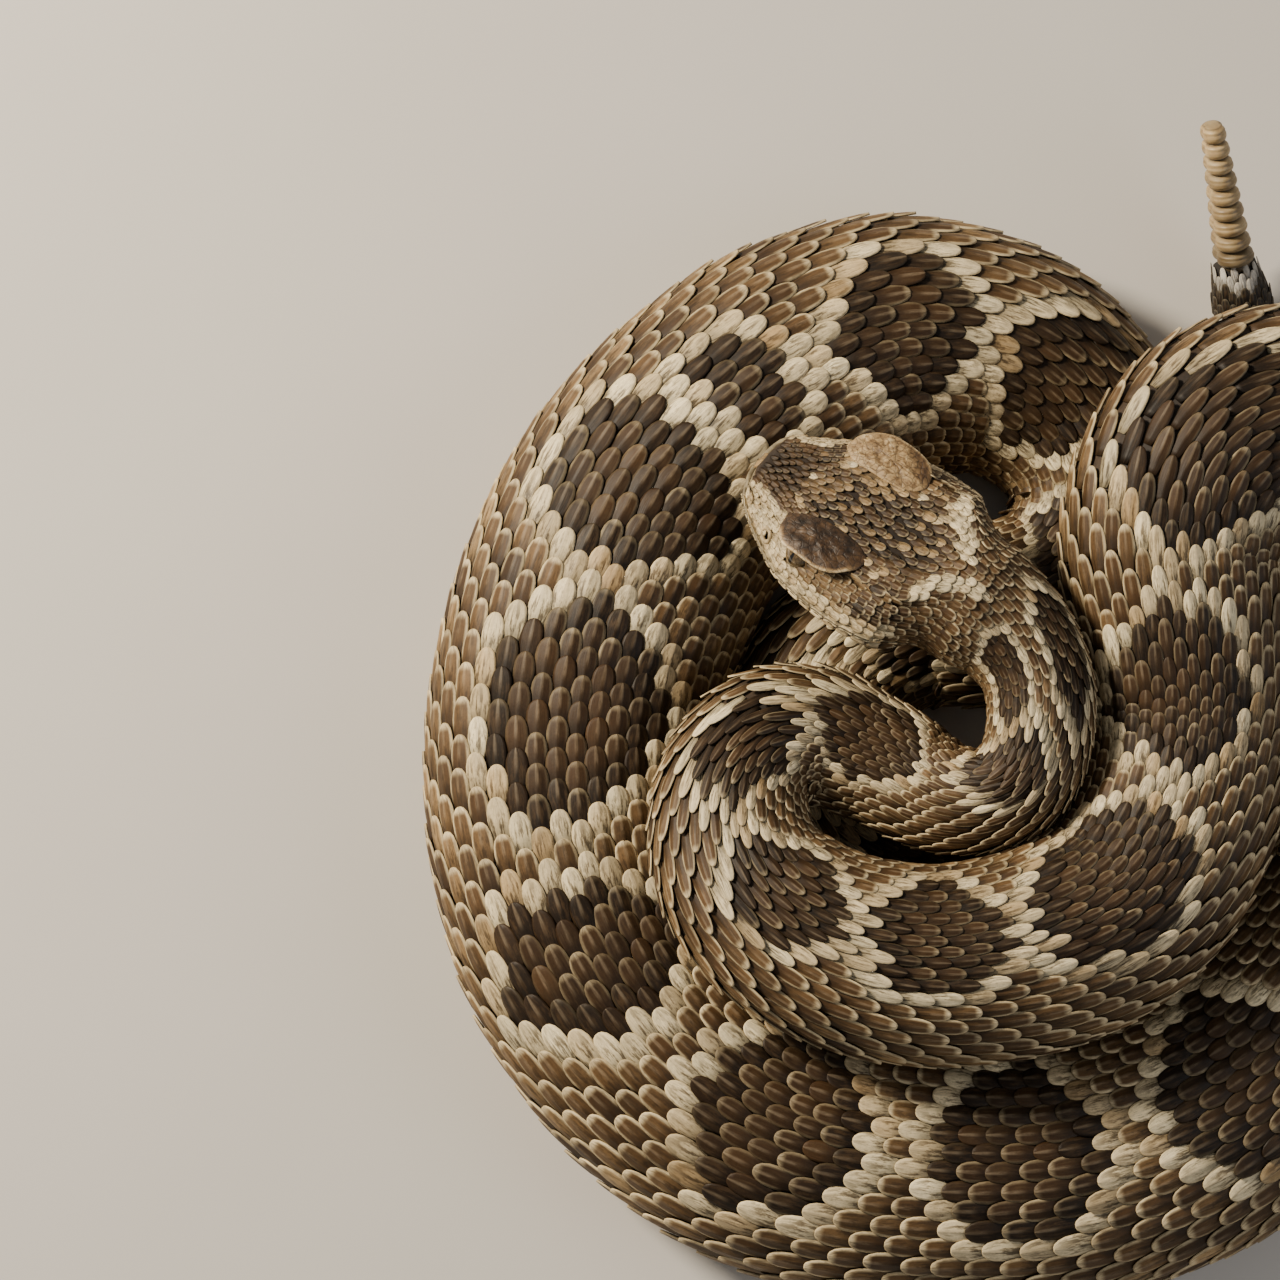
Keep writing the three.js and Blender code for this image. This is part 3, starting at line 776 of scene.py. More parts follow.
def make_leaf(name, keel):
    points, leaf = [], []
    for y, width in zip(LEAF_STATIONS, LEAF_WIDTHS):
        thickness = 0.55 + 0.45 * math.sin(math.pi * min(1, 0.25 + 0.75 * y))
        for x, dome in zip(LEAF_ACROSS, LEAF_DOME):
            ridge = keel * math.exp(-(x / 0.14) ** 2) * float(soft_step(0.05, 0.4, y)) * (1 - 0.6 * y ** 4)
            points.append((0.5 * width * x, y, dome * thickness + ridge))
            leaf.append((x, y, 0))
    top, across = len(points), len(LEAF_ACROSS)
    rim = [k * across for k in range(len(LEAF_STATIONS))]
    rim += list(range(top - across + 1, top))
    rim += [k * across + across - 1 for k in range(len(LEAF_STATIONS) - 2, -1, -1)]
    rim += list(range(across - 2, 0, -1))
    for k in rim:
        points.append((points[k][0] * 0.96, points[k][1], LEAF_UNDER))
        leaf.append(leaf[k])
    faces = grid_faces(len(LEAF_STATIONS), across)
    for i, k in enumerate(rim):
        after = (i + 1) % len(rim)
        faces.append((k, rim[after], top + after, top + i))
    faces.append(tuple(top + i for i in range(len(rim))))
    mesh = bpy.data.meshes.new(name)
    mesh.from_pydata(points, [], faces)
    mesh.polygons.foreach_set("use_smooth", [True] * (len(faces) - 1) + [False])
    store(mesh, "leaf", leaf, "FLOAT_VECTOR")
    return bpy.data.objects.new(name, mesh)


keeled_leaf = make_leaf("keeled_leaf", 0.42)
smooth_leaf = make_leaf("smooth_leaf", 0.05)
print("faces of one scale:", len(keeled_leaf.data.polygons))

# %% [markdown]
# Geometry Nodes lay the scales. The bed is a mesh of loose points, one for each scale, which carries the
# way that the scale lies, its size and its tones. The tree turns a copy of the leaf to each point, lifts
# its tip, varies it a little by a fixed seed, and stores the map that the finish is baked through: a
# small patch for every scale, at its root's place on the unrolled skin. Copies are made real at the end.

# %% Scale laying tree
LAYING_DEFAULTS = {"Tip lift": 0.1, "Lift variation": 0.025, "Size variation": 0.05, "Patch": 0.005}
LAYING_SEED = 3


def make_laying_tree():
    tree = bpy.data.node_groups.new("lay_scales", "GeometryNodeTree")
    socket = tree.interface.new_socket
    socket("Bed", in_out="INPUT", socket_type="NodeSocketGeometry")
    for name, value in LAYING_DEFAULTS.items():
        socket(name, in_out="INPUT", socket_type="NodeSocketFloat").default_value = value
    socket("Seed", in_out="INPUT", socket_type="NodeSocketInt").default_value = LAYING_SEED
    socket("Leaf", in_out="INPUT", socket_type="NodeSocketObject")
    socket("Finish", in_out="INPUT", socket_type="NodeSocketMaterial")
    socket("Coat", in_out="OUTPUT", socket_type="NodeSocketGeometry")
    given = tree.nodes.new("NodeGroupInput").outputs
    result = tree.nodes.new("NodeGroupOutput")

    def named(name, kind="FLOAT_VECTOR"):
        return add_node(tree, "GeometryNodeInputNamedAttribute", {"Name": name}, data_type=kind).outputs[0]

    def draw(low, high, seed_step):
        seed = maths(tree, "ADD", given["Seed"], seed_step)
        return add_node(tree, "FunctionNodeRandomValue", {2: low, 3: high, "Seed": seed},
                        data_type="FLOAT").outputs[1]

    def vector(operation, *values):
        return add_node(tree, "ShaderNodeVectorMath", enumerate(values), operation=operation).outputs[0]

    lie = add_node(tree, "FunctionNodeAxesToRotation", {0: named("outwards"), 1: named("tailwards")},
                   primary_axis="Z", secondary_axis="Y").outputs[0]
    spread = maths(tree, "MULTIPLY", draw(-1.0, 1.0, 1), given["Lift variation"])
    lift = maths(tree, "ADD", given["Tip lift"], spread)
    sway = maths(tree, "MULTIPLY", draw(-1.0, 1.0, 2), given["Lift variation"])
    tip = add_node(tree, "ShaderNodeCombineXYZ", {0: lift, 2: sway}).outputs[0]
    turned = add_node(tree, "FunctionNodeRotateRotation",
                      {0: lie, 1: add_node(tree, "FunctionNodeEulerToRotation", {0: tip}).outputs[0]},
                      rotation_space="LOCAL").outputs[0]
    vary = maths(tree, "ADD", maths(tree, "MULTIPLY", draw(-1.0, 1.0, 5), given["Size variation"]), 1.0)
    size = vector("MULTIPLY", named("size"), add_node(tree, "ShaderNodeCombineXYZ",
                                                      {0: vary, 1: vary, 2: 1.0}).outputs[0])
    leaf = add_node(tree, "GeometryNodeObjectInfo", {"Object": given["Leaf"]}).outputs["Geometry"]
    copies = add_node(tree, "GeometryNodeInstanceOnPoints", {"Points": given["Bed"], "Instance": leaf,
                                                             "Rotation": turned, "Scale": size}).outputs[0]
    real = add_node(tree, "GeometryNodeRealizeInstances", {0: copies}).outputs[0]
    centred = vector("SUBTRACT", named("leaf"), (0.0, 0.5, 0.0))
    flat = vector("MULTIPLY", centred, (0.5, 1.0, 0.0))
    patch = add_node(tree, "ShaderNodeVectorMath", {0: flat, "Scale": given["Patch"]},
                     operation="SCALE").outputs[0]
    mapped = add_node(tree, "GeometryNodeStoreNamedAttribute",
                      {"Geometry": real, "Name": "OFBake", "Value": vector("ADD", named("root_map"), patch)},
                      data_type="FLOAT2", domain="CORNER").outputs[0]
    dressed = add_node(tree, "GeometryNodeSetMaterial", {"Geometry": mapped, "Material": given["Finish"]})
    tree.links.new(dressed.outputs[0], result.inputs[0])
    return tree


LAYING_TREE = make_laying_tree()
LAYING_SOCKETS = {item.name: item.identifier for item in LAYING_TREE.interface.items_tree
                  if item.in_out == "INPUT"}
print("inputs of the tree:", sorted(LAYING_SOCKETS))

# %% [markdown]
# The tree runs as a modifier on the bed. Its result becomes a mesh of its own, and the bed goes.

# %% Lay scales
def lay_scales(name, bed, leaf, finish, **changes):
    """bed holds one row for each scale: place, outwards, tailwards, size, tone, outline, shade, root_map."""
    mesh = bpy.data.meshes.new(name + "_bed")
    mesh.from_pydata([tuple(p) for p in bed["place"] * MM], [], [])
    for key in ("outwards", "tailwards", "root_map"):
        store(mesh, key, bed[key], "FLOAT_VECTOR")
    store(mesh, "size", bed["size"] * MM, "FLOAT_VECTOR")
    for key in ("tone", "outline", "shade"):
        store(mesh, key, bed[key])
    maker = bpy.data.objects.new(name + "_bed", mesh)
    bpy.context.scene.collection.objects.link(maker)
    modifier = maker.modifiers.new("lay", "NODES")
    modifier.node_group = LAYING_TREE
    values = {**LAYING_DEFAULTS, "Seed": LAYING_SEED, "Leaf": leaf, "Finish": finish}
    values.update({key.replace("_", " ").capitalize(): value for key, value in changes.items()})
    for key, value in values.items():
        modifier[LAYING_SOCKETS[key]] = value
    graph = bpy.context.evaluated_depsgraph_get()
    coat_mesh = bpy.data.meshes.new_from_object(maker.evaluated_get(graph))
    maker.modifiers.remove(modifier)
    bpy.data.objects.remove(maker)
    for key in ("outwards", "tailwards", "root_map", "size"):
        if key in coat_mesh.attributes:
            coat_mesh.attributes.remove(coat_mesh.attributes[key])
    coat_mesh.name = name
    coat = bpy.data.objects.new(name, coat_mesh)
    bpy.context.scene.collection.objects.link(coat)
    return coat


print("the tip of a scale is lifted by", LAYING_DEFAULTS["Tip lift"], "radians")

# %% [markdown]
# On the back the scales stand like bricks: 27 rows, every second one moved by half a scale. The pitch
# follows the vertebrae, and the rows crowd together near the ridge on the slim front of the body.

# %% Rows of the back
PITCH = [(56, 3.0), (80, 3.7), (110, 4.5), (140, 5.2), (200, 6.1), (400, 6.3), (900, 6.5), (1000, 6.1),
         (1120, 5.2), (1213, 4.1), (1321, 3.3)]
ROW_CROWDING = [(60, 0.85), (110, 0.75), (200, 0.62), (340, 0.64), (450, 0.8), (1000, 0.85)]
BACK_ROWS, FRONT_START = 27, 57
LENGTH_SHARE = 1.36  # how many pitches long a scale is
pitch_run_at = np.arange(0, BODY_LENGTH + 1, 0.5)
pitch_run = np.concatenate([[0], np.cumsum(0.5 / along(PITCH, pitch_run_at[:-1] + 0.25))])
rng = np.random.default_rng(11)


def lattice(start, end, rows):
    """Distance and share of each scale, as tables of rows by columns."""
    first, last = np.interp([start, end], pitch_run_at, pitch_run)
    column = np.arange(math.ceil(first), last)
    row = np.arange(rows)
    place = column[None, :] + 0.5 * (row[:, None] % 2) + rng.normal(0, 0.035, (rows, len(column)))
    distance = np.interp(place, pitch_run, pitch_run_at)
    half = (rows - 1) / 2
    k = (row[:, None] - half) / (half + 0.4)
    crowding = along(ROW_CROWDING, distance)
    share = k * (crowding + (1 - crowding) * np.abs(k))
    spacing = (crowding + 2 * (1 - crowding) * np.abs(k)) / (half + 0.4)
    return distance, share, spacing


distance, share, spacing = lattice(FRONT_START, TAIL_START - 2, BACK_ROWS)
print("scales on the back:", distance.size)

# %% [markdown]
# A scale inside a blotch that touches one outside is part of its dark rim, and the one that it touches
# is cream. That is how the real animal gets borders that are just one scale wide.

# %% Classes of scales
def neighbours(inside):
    """Whether any of the six scales that touch this one is inside."""
    padded = np.pad(inside, 1)
    near = padded[1:-1, :-2] | padded[1:-1, 2:]
    odd = (np.arange(inside.shape[0]) % 2 == 1)[:, None]
    for step in (0, 2):
        beside = padded[step:step + inside.shape[0]]
        near = near | beside[:, 1:-1] | np.where(odd, beside[:, 2:], beside[:, :-2])
    return near


def classed(distance, share):
    """Tone and outline of each scale of a lattice."""
    inside = back_field(distance, share) < 1
    rim = inside & neighbours(~inside)
    border = ~inside & neighbours(inside)
    flank_dark = flank_field(distance, share) < 1
    flank_edge = ~flank_dark & neighbours(flank_dark)
    kind = np.full(distance.shape, "between   ")
    kind[np.abs(share) > 0.55] = "flank"
    kind[np.abs(share) > LOW_SHARE] = "low"
    kind[flank_dark] = "flank_mark"
    kind[inside] = "blotch"
    kind[rim] = "rim"
    kind[border] = "border"
    kind = np.char.strip(kind)
    tone = np.vectorize(TONE.get)(kind).astype(float)
    edge = np.vectorize(OUTLINE.get)(kind).astype(float)
    pale_flank = flank_edge & ~border & ~inside & (np.abs(share) < LOW_SHARE)
    tone = np.where(pale_flank, tone + 0.2 * rng.random(tone.shape), tone)
    spread = np.where(border, 0.09, np.where(inside, 0.02, 0.045))
    tone = np.clip(tone + rng.normal(0, 1, tone.shape) * spread, 0, 1)
    return tone, np.clip(edge + rng.normal(0, 0.12, edge.shape), 0, 1)


tone, edge = classed(distance, share)
print("share of dark scales:", round(float((tone < 0.15).mean()), 2))

# %% [markdown]
# A bed says how each scale lies. Its width follows the rows and its length the pitch, shortened where
# the inner side of a bend leaves less room.

# %% Beds of scales
def bed_of(distance, share, spacing, tone, edge, width_share=1.16, thickness=0.5):
    """How each scale of a lattice lies: its root on the skin, its two directions, its size and tones."""
    turn, side = turn_at(distance, share)
    outwards, tailwards, stretch = axes_on(distance, turn)
    width = spacing * side * width_share
    length = along(PITCH, distance) * LENGTH_SHARE * np.clip(stretch, 0.45, 1.3)
    thick = thickness * np.clip(width / 4.5, 0.45, 1.2)
    place = on_skin(distance, turn, -COAT_DEPTH + 0.05) - tailwards * (0.42 * length)[..., None]
    bed = {"place": place, "outwards": outwards, "tailwards": tailwards,
           "size": np.stack([width, length, thick], -1)}
    bed = {key: values.reshape(-1, 3) for key, values in bed.items()}
    for key, values in {"tone": tone, "outline": edge, "distance": distance, "turn": turn}.items():
        bed[key] = values.ravel()
    bed["shade"] = rng.random(distance.size)
    return bed


def part_of(bed, start, end):
    """The scales of one stretch, with their map over that stretch alone."""
    chosen = (bed["distance"] >= start) & (bed["distance"] < end)
    part = {key: values[chosen] for key, values in bed.items()}
    u = 0.01 + 0.98 * (part["distance"] - start) / (end - start)
    v = 0.02 + 0.96 * (part["turn"] + RIDGE) / (2 * RIDGE)
    part["root_map"] = np.stack([u, v, 0 * u], -1)
    return part


back_bed = bed_of(distance, share, spacing, tone, edge)
print("widest scale:", round(float(back_bed["size"][:, 0].max()), 1), "mm")

# %% [markdown]
# The back is laid in seven stretches, so that each piece stays light and gets a sharp map of its own.

# %% Lay the back
BACK_STRETCHES = [FRONT_START - 2, 230, 420, 610, 800, 980, 1100, TAIL_START + 2]
coat_pieces = []
for number, (start, end) in enumerate(zip(BACK_STRETCHES, BACK_STRETCHES[1:]), 1):
    coat_pieces.append(lay_scales(f"back_scales_{number}", part_of(back_bed, start, end), keeled_leaf,
                                  BACK_SCALES))
print("most faces in one piece:", max(len(piece.data.polygons) for piece in coat_pieces))

# %% [markdown]
# The ringed tail has fewer and larger rows than the back, and black and ash white rings instead of
# blotches. It is laid by the same tree with a finish of its own.

# %% Tail scales
TAIL_COLOURS = [(0.0, (0.012, 0.011, 0.010, 1)), (0.35, (0.05, 0.045, 0.04, 1)),
                (0.7, (0.42, 0.40, 0.36, 1)), (1.0, (0.62, 0.60, 0.55, 1))]
TAIL_ROWS, TAIL_RINGS = 17, 5.5
# The tail's scales get a weaker painted highlight along the keel.
TAIL_SCALES = scale_finish("tail_scales", TAIL_COLOURS, keel_highlight=0.12, roughness=0.46)
distance, share, spacing = lattice(TAIL_START - 1, BODY_LENGTH - 1, TAIL_ROWS)
ring_wave = np.cos(2 * np.pi * TAIL_RINGS * (distance - TAIL_START) / (BODY_LENGTH - TAIL_START)
                   + 0.5 * np.sin(5 * share + distance / 9))
ring_tone = np.clip(np.where(ring_wave > 0.05, 0.05, 0.86) + rng.normal(0, 0.05, distance.shape), 0, 1)
tail_bed = bed_of(distance, share, spacing, ring_tone, 0.1 + 0 * distance, width_share=1.12, thickness=0.42)
tail_coat = lay_scales("tail_ring_scales", part_of(tail_bed, TAIL_START - 5, BODY_LENGTH), keeled_leaf,
                       TAIL_SCALES)
print("scales on the tail:", distance.size)

# %% [markdown]
# Under the body lie broad smooth plates, one for each vertebra, that overlap like roof tiles. Each is
# a thin closed shell bent round the belly, higher at its free edge than at its root. The chin has none,
# so they begin behind the jaw.

# %% Belly plates
BELLY_COLOURS = [(0.0, (0.30, 0.22, 0.13, 1)), (0.5, (0.56, 0.46, 0.30, 1)), (1.0, (0.72, 0.62, 0.43, 1))]
BELLY_FINISH = scale_finish("belly_plates", BELLY_COLOURS, keel_highlight=0.0, roughness=0.38)
BELLY_START = 50
PLATE_ALONG = np.array([0.0, 0.3, 0.62, 0.9, 1.0])
PLATE_LIFT = np.array([-0.25, 0.1, 0.28, 0.4, 0.3])[:, None]
PLATE_THICK, PLATE_EDGE = 0.22, 2.45
PLATE_TURNS = np.linspace(-PLATE_EDGE, PLATE_EDGE, 13)


def make_belly():
    first = math.ceil(np.interp(BELLY_START, pitch_run_at, pitch_run))
    columns = np.arange(first, math.floor(pitch_run[-1]))
    starts = np.interp(columns, pitch_run, pitch_run_at)
    rows, across = len(PLATE_ALONG), len(PLATE_TURNS)
    points, leaf, faces, shade, patches = [], [], [], [], []
    for number, (start, step) in enumerate(zip(starts, along(PITCH, starts))):
        distance = np.minimum(start + (PLATE_ALONG - 0.25) * step * 1.3, BODY_LENGTH - 0.3)
        distance, turn = np.meshgrid(distance, PLATE_TURNS, indexing="ij")
        lift = PLATE_LIFT - COAT_DEPTH + 0 * turn
        points += [on_skin(distance, turn, lift), on_skin(distance, turn, lift - PLATE_THICK)]
        faces += shell_faces(rows, across, 2 * rows * across * number)
        place = np.stack([turn / PLATE_EDGE * 0.9, 0.62 + 0.3 * PLATE_ALONG[:, None] + 0 * turn,
                          0 * turn], -1)
        leaf += [place, place]
        shade.append(np.full(2 * turn.size, rng.random()))
        patch = np.stack([start / BODY_LENGTH + 0.002 * (place[..., 1] - 0.6),
                          0.5 + 0.1 * place[..., 0]], -1)
        patches += [patch.reshape(-1, 2)] * 2
    points = np.vstack([sheet.reshape(-1, 3) for sheet in points])
    leaf = np.vstack([sheet.reshape(-1, 3) for sheet in leaf])
    points[:, 2] = np.maximum(points[:, 2], 0.02)
    piece = shell_object("belly_scutes", points, faces, BELLY_FINISH)
    tone = 0.95 - 0.45 * np.abs(leaf[:, 0] / 0.9) ** 3
    store_horn(piece.data, leaf, tone, 0 * tone, np.concatenate(shade))
    store_map(piece.data, np.vstack(patches)[corner_points(piece.data)])
    print("belly plates:", len(starts))
    return piece


belly = make_belly()

# %% [markdown]
# The head gets the most care. Its larger shields are modelled one by one from a flat tile with rounded
# corners. Lip shields are laid straight on the outline of the head. The two shields of the snout are
# pressed onto the skin point by point, by looking up the nearest place on it.

# %% Shields of the head
HEAD_MIDDLE = on_head(26, 0, 8)
SHIELD_STEPS = np.array([-1, -0.9, -0.62, -0.25, 0.25, 0.62, 0.9, 1])
SNOUT_SINK, SNOUT_DOME, SNOUT_THICK = -0.2, 0.6, 0.25
LIP_CORNER, LIP_SINK, LIP_HEIGHT, LIP_UNDER = 5, -0.15, 0.34, -0.4
PATCHES_IN_ROW, PATCH_STEP = 16, 0.06
skin_tree = bvhtree.BVHTree.FromPolygons([tuple(p) for p in skin_points],
                                         grid_faces(len(SKIN_STATIONS), len(SKIN_TURNS), ring=True))


def rounded_tile(corner):
    """Places of a tile from -1 to 1, and how near each is to its edge."""
    y, x = np.meshgrid(SHIELD_STEPS, SHIELD_STEPS, indexing="ij")
    reach = np.maximum(np.abs(x), np.abs(y))
    squeeze = reach / (np.abs(x) ** corner + np.abs(y) ** corner) ** (1 / corner)
    return x * squeeze, y * squeeze, reach


class Shields:
    """Collects shields and turns them into one mesh."""

    def __init__(self):
        self.points, self.faces, self.leaf, self.patch, self.tone, self.shade = [], [], [], [], [], []

    def press(self, centre, along_axis, across_axis, half_along, half_across, tone, height, corner):
        """A shield pressed onto the skin from a tile that is laid against the head."""
        x, y, reach = rounded_tile(corner)
        flat = centre + along_axis * (y * half_along)[..., None] + across_axis * (x * half_across)[..., None]
        rise = (height - SNOUT_SINK) * (1 - reach ** 6) ** 0.5 * (1 - (1 - SNOUT_DOME) * reach ** 2)
        upper, lower = [], []
        for place, up in zip(flat.reshape(-1, 3), SNOUT_SINK + rise.ravel()):
            found, normal, _, _ = skin_tree.find_nearest(Vector(place))
            normal = np.array(normal)
            if np.dot(normal, place - HEAD_MIDDLE) < 0:
                normal = -normal
            upper.append(np.array(found) + normal * up)
            lower.append(np.array(found) + normal * (min(up, SNOUT_SINK) - SNOUT_THICK))
        self.record(upper + lower, x, y, tone)

    def lay(self, distances, turns, side, tone, lean):
        """A shield between two distances and two turns, straight on the outline of the head."""
        x, y, reach = rounded_tile(LIP_CORNER)
        half_long, half_round = (distances[1] - distances[0]) / 2, (turns[1] - turns[0]) / 2
        distance = distances[0] + half_long + (y + lean * x) * half_long
        turn = side * (turns[0] + half_round + x * half_round)
        rise = LIP_SINK + (LIP_HEIGHT - LIP_SINK) * np.sqrt(1 - reach ** 8)
        sheets = [on_skin(distance, turn, lift - COAT_DEPTH) for lift in (rise, LIP_UNDER)]
        self.record([point for sheet in sheets for point in sheet.reshape(-1, 3)], x, y, tone)

    def record(self, points, x, y, tone):
        """Stores the points of one shield with its place on the leaf, its tones and its map."""
        self.faces += shell_faces(len(SHIELD_STEPS), len(SHIELD_STEPS), len(self.points))
        self.points += points
        self.leaf += [np.stack([0.92 * x, 0.64 + 0.1 * y, 0 * x], -1).reshape(-1, 3)] * 2
        row, column = divmod(len(self.tone), PATCHES_IN_ROW)
        self.tone.append(np.full(len(points), tone))
        self.shade.append(np.full(len(points), rng.random()))
        self.patch += [np.stack([0.03 + PATCH_STEP * column + 0.02 * x,
                                 0.03 + PATCH_STEP * row + 0.02 * y], -1).reshape(-1, 2)] * 2

    def finish(self, name, material):
        piece = shell_object(name, self.points, self.faces, material)
        tone = np.concatenate(self.tone)
        store_horn(piece.data, np.vstack(self.leaf), tone, 0 * tone, np.concatenate(self.shade))
        store_map(piece.data, np.vstack(self.patch)[corner_points(piece.data)])
        return piece


print("points in the upper sheet of a shield:", len(SHIELD_STEPS) ** 2)

# %% [markdown]
# Fourteen shields stand along each lip on each side, with a narrow seam between neighbours. Two more
# lie one above the other on the tip of the snout.

# %% Lip and snout shields
LABIALS = 14
LABIAL_START, LABIAL_END = 2.2, 47.5
UPPER_LIP, LOWER_LIP = (3.35, 5.0), (2.2, 3.25)
SUTURE = 0.045  # the gap on either side of a lip shield, as a share of its length
shields = Shields()


def labial_row(side, turns, start, end, tone, lean):
    """Shields along one lip, a little longer towards the corner of the mouth."""
    edges = start + (end - start) * (np.linspace(0, 1, LABIALS + 1) ** 1.12)
    for front, rear in zip(edges, edges[1:]):
        seam = SUTURE * (rear - front)
        shields.lay((front + seam, rear - seam), turns, side, tone + rng.normal(0, 0.035), lean)


def rolled_axes(distance):
    """The ways to the tail, to the right and up at a distance, as the head is rolled there."""
    _, forward, right, up = station(np.array(float(distance)))
    roll = math.radians(float(along(ROLL, distance)))
    return (forward, right * math.cos(roll) + up * math.sin(roll),
            up * math.cos(roll) - right * math.sin(roll))


for side in (1, -1):
    labial_row(side, UPPER_LIP, LABIAL_START, LABIAL_END, 0.86, 0.12)
    labial_row(side, LOWER_LIP, LABIAL_START + 0.6, LABIAL_END - 1.0, 0.8, -0.1)

_, head_right, head_up = rolled_axes(0)
shields.press(on_head(0, 0, 6.2), head_up, head_right, 2.5, 2.3, 0.62, height=0.5, corner=2.6)
shields.press(on_head(0.2, 0, 2.0), head_up, head_right, 1.1, 1.9, 0.8, height=0.4, corner=2.4)
print("shields so far:", len(shields.tone))

# %% [markdown]
# Between the big shields the crown carries small keeled scales in no strict rows. They start as rings
# round the head and are then pushed apart a few times, as soap bubbles would be, so that they fill the
# crown evenly and get larger towards the nape. Eyes, pits, nostrils and brow shields keep them away.

# %% Places on the head
EYE_DISTANCE, EYE_BELOW_TOP, EYE_OUT, EYE_RADIUS = 22, 4.7, 0.6, 3.4
PIT_PLACE, NOSTRIL_PLACE = (12.5, 8.0, 1.5), (4.5, 8.0, 0.85)  # distance, height and radius
BROW_DISTANCE, BROW_INSET, BROW_HALF = 24.5, 2.0, (5.6, 9.5)
BROW_ACROSS = float(along(CROWN, BROW_DISTANCE)) - BROW_INSET
CROWN_SPACING = [(2, 1.35), (10, 1.5), (20, 1.7), (35, 2.0), (50, 2.25), (60, 2.3)]
CROWN_END = 58.0
LIP_TOP = 5.05
PUSHES, PUSH_SHARE = 14, 0.55


def arc_length(distance, first_turn, second_turn):
    across, height = outline(np.full(12, float(distance)), np.linspace(first_turn, second_turn, 12))
    return np.hypot(np.diff(across), np.diff(height)).sum()


def eye_centre(side):
    across = side * (float(along(CROWN, EYE_DISTANCE)) + EYE_OUT)
    return on_head(EYE_DISTANCE, across, float(along(TOP, EYE_DISTANCE)) - EYE_BELOW_TOP)


def side_turn(distance, height):
    """The turn on the side of the head at a height above the chin line."""
    turns = np.linspace(4, 9, 60)
    return float(np.interp(height, outline(np.full(60, float(distance)), turns)[1], turns))


hollows = []
for side in (1, -1):
    for distance, height, radius in (PIT_PLACE, NOSTRIL_PLACE):
        place = np.array(distance), np.array(side * side_turn(distance, height))
        hollows.append((on_skin(*place, -COAT_DEPTH), radius, axes_on(*place)[0]))


def crown_turn(share):
    """The turn at a share of the way from the ridge to the upper lip."""
    return np.sign(share) * (RIDGE - np.abs(share) * (RIDGE - LIP_TOP))


def crown_places():
    """Distance and turn of the small scales of the head."""
    distances, shares = [], []
    ring = 3.0
    while ring < CROWN_END:
        spacing_here = float(along(CROWN_SPACING, ring))
        count = max(5, round(2 * arc_length(ring, LIP_TOP, RIDGE) / spacing_here))
        shares += list((np.arange(count) + rng.random()) / count * 2 - 1)
        distances += [ring] * count
        ring += 0.9 * spacing_here
    distance, share = np.array(distances), np.array(shares)
    for _ in range(PUSHES):
        place = surface(distance, crown_turn(share))
        gap = np.linalg.norm(place[:, None] - place[None], axis=-1) + np.eye(len(place)) * 99
        wanted = 1.08 * along(CROWN_SPACING, distance)[:, None]
        push = np.clip(wanted - gap, 0, None) / wanted
        along_push, round_push = ((push * (v[:, None] - v[None]) / gap).sum(1) for v in (distance, share))
        distance = np.clip(distance + PUSH_SHARE * along_push, 2.6, CROWN_END + 1)
        share = np.clip(share + PUSH_SHARE * round_push, -0.985, 0.985)
    return distance, crown_turn(share)


print("hollows:", len(hollows), "- eyes at", EYE_DISTANCE, "mm from the snout")

# %% [markdown]
# The head has marks of its own: a dark cap, pale bars and a band through the eye, over a cream face and
# an olive temple. Each mark is an ellipse on the unrolled head, which may lean.

# %% Tones of the head
# Distance, place round the head (0 at the ridge, positive to the left), half length, half width, lean
# and tone of each mark. The dark mark over the left brow and the tan one over the right are painted
# shade and painted light.
HEAD_MARKS = [
    (6.5, 0.1, 6.0, 1.45, 0.0, 0.12), (27.0, 1.9, 9.0, 0.9, 0.05, 0.12), (24.0, -1.4, 8.0, 0.75, 0.0, 0.6),
    (32.0, -1.6, 4.0, 0.7, 0.0, 0.4), (41.0, 3.9, 6.5, 0.5, -0.03, 0.1), (41.0, -3.9, 6.5, 0.5, 0.03, 0.1),
    (38.0, 2.6, 7.5, 0.45, -0.02, 0.5), (50.5, 1.25, 7.0, 0.62, -0.06, 0.86),
    (46.0, -1.2, 6.0, 0.62, 0.11, 0.86), (12.5, -1.35, 2.2, 0.5, 0.0, 0.04),
    (30.0, 0.3, 14.0, 0.9, 0.0, 0.09), (16.0, 0.1, 4.5, 0.45, 0.0, 0.4),
]


def head_tone(distance, turn):
    """Markings of the head, which end in a cream face and lip and an olive temple."""
    round_head = np.sign(turn) * (RIDGE - np.abs(turn))
    low = np.abs(round_head)
    face = (low > 1.65 + 0.12 * np.clip(distance - 14, 0, 40)) & (distance < 21)
    tone = np.full(np.shape(distance), 0.19)
    for chosen, value in (((low > 2.2) & (distance > 30), 0.27), (face, 0.8),
                          ((low > 3.0) & (distance >= 18) & (distance < 34), 0.42),
                          ((low > 4.35) & (distance < 47), 0.78)):
        tone[chosen] = value
    for middle, place_round, half_long, half_wide, lean, mark_tone in HEAD_MARKS:
        x = (distance - middle) / half_long
        y = (round_head - place_round - lean * (distance - middle)) / half_wide
        tone[x ** 2 + y ** 2 < 1] = mark_tone
    return tone


def head_outline(distance, turn):
    """How strongly the pale edges of the small scales show."""
    low = RIDGE - np.abs(turn)
    edge = np.where(low < 1.6, 0.42, 0.5)
    edge = np.where((low > 1.8) & (distance > 32), 0.8, edge)
    return np.where((distance < 12) & (low < 1.7), 0.15, edge)


print("marks on the head:", len(HEAD_MARKS))

# %% [markdown]
# The crown's scales are now laid where nothing else stands. The finer ones take random tones and a few
# pale flecks, so that no two look the same.

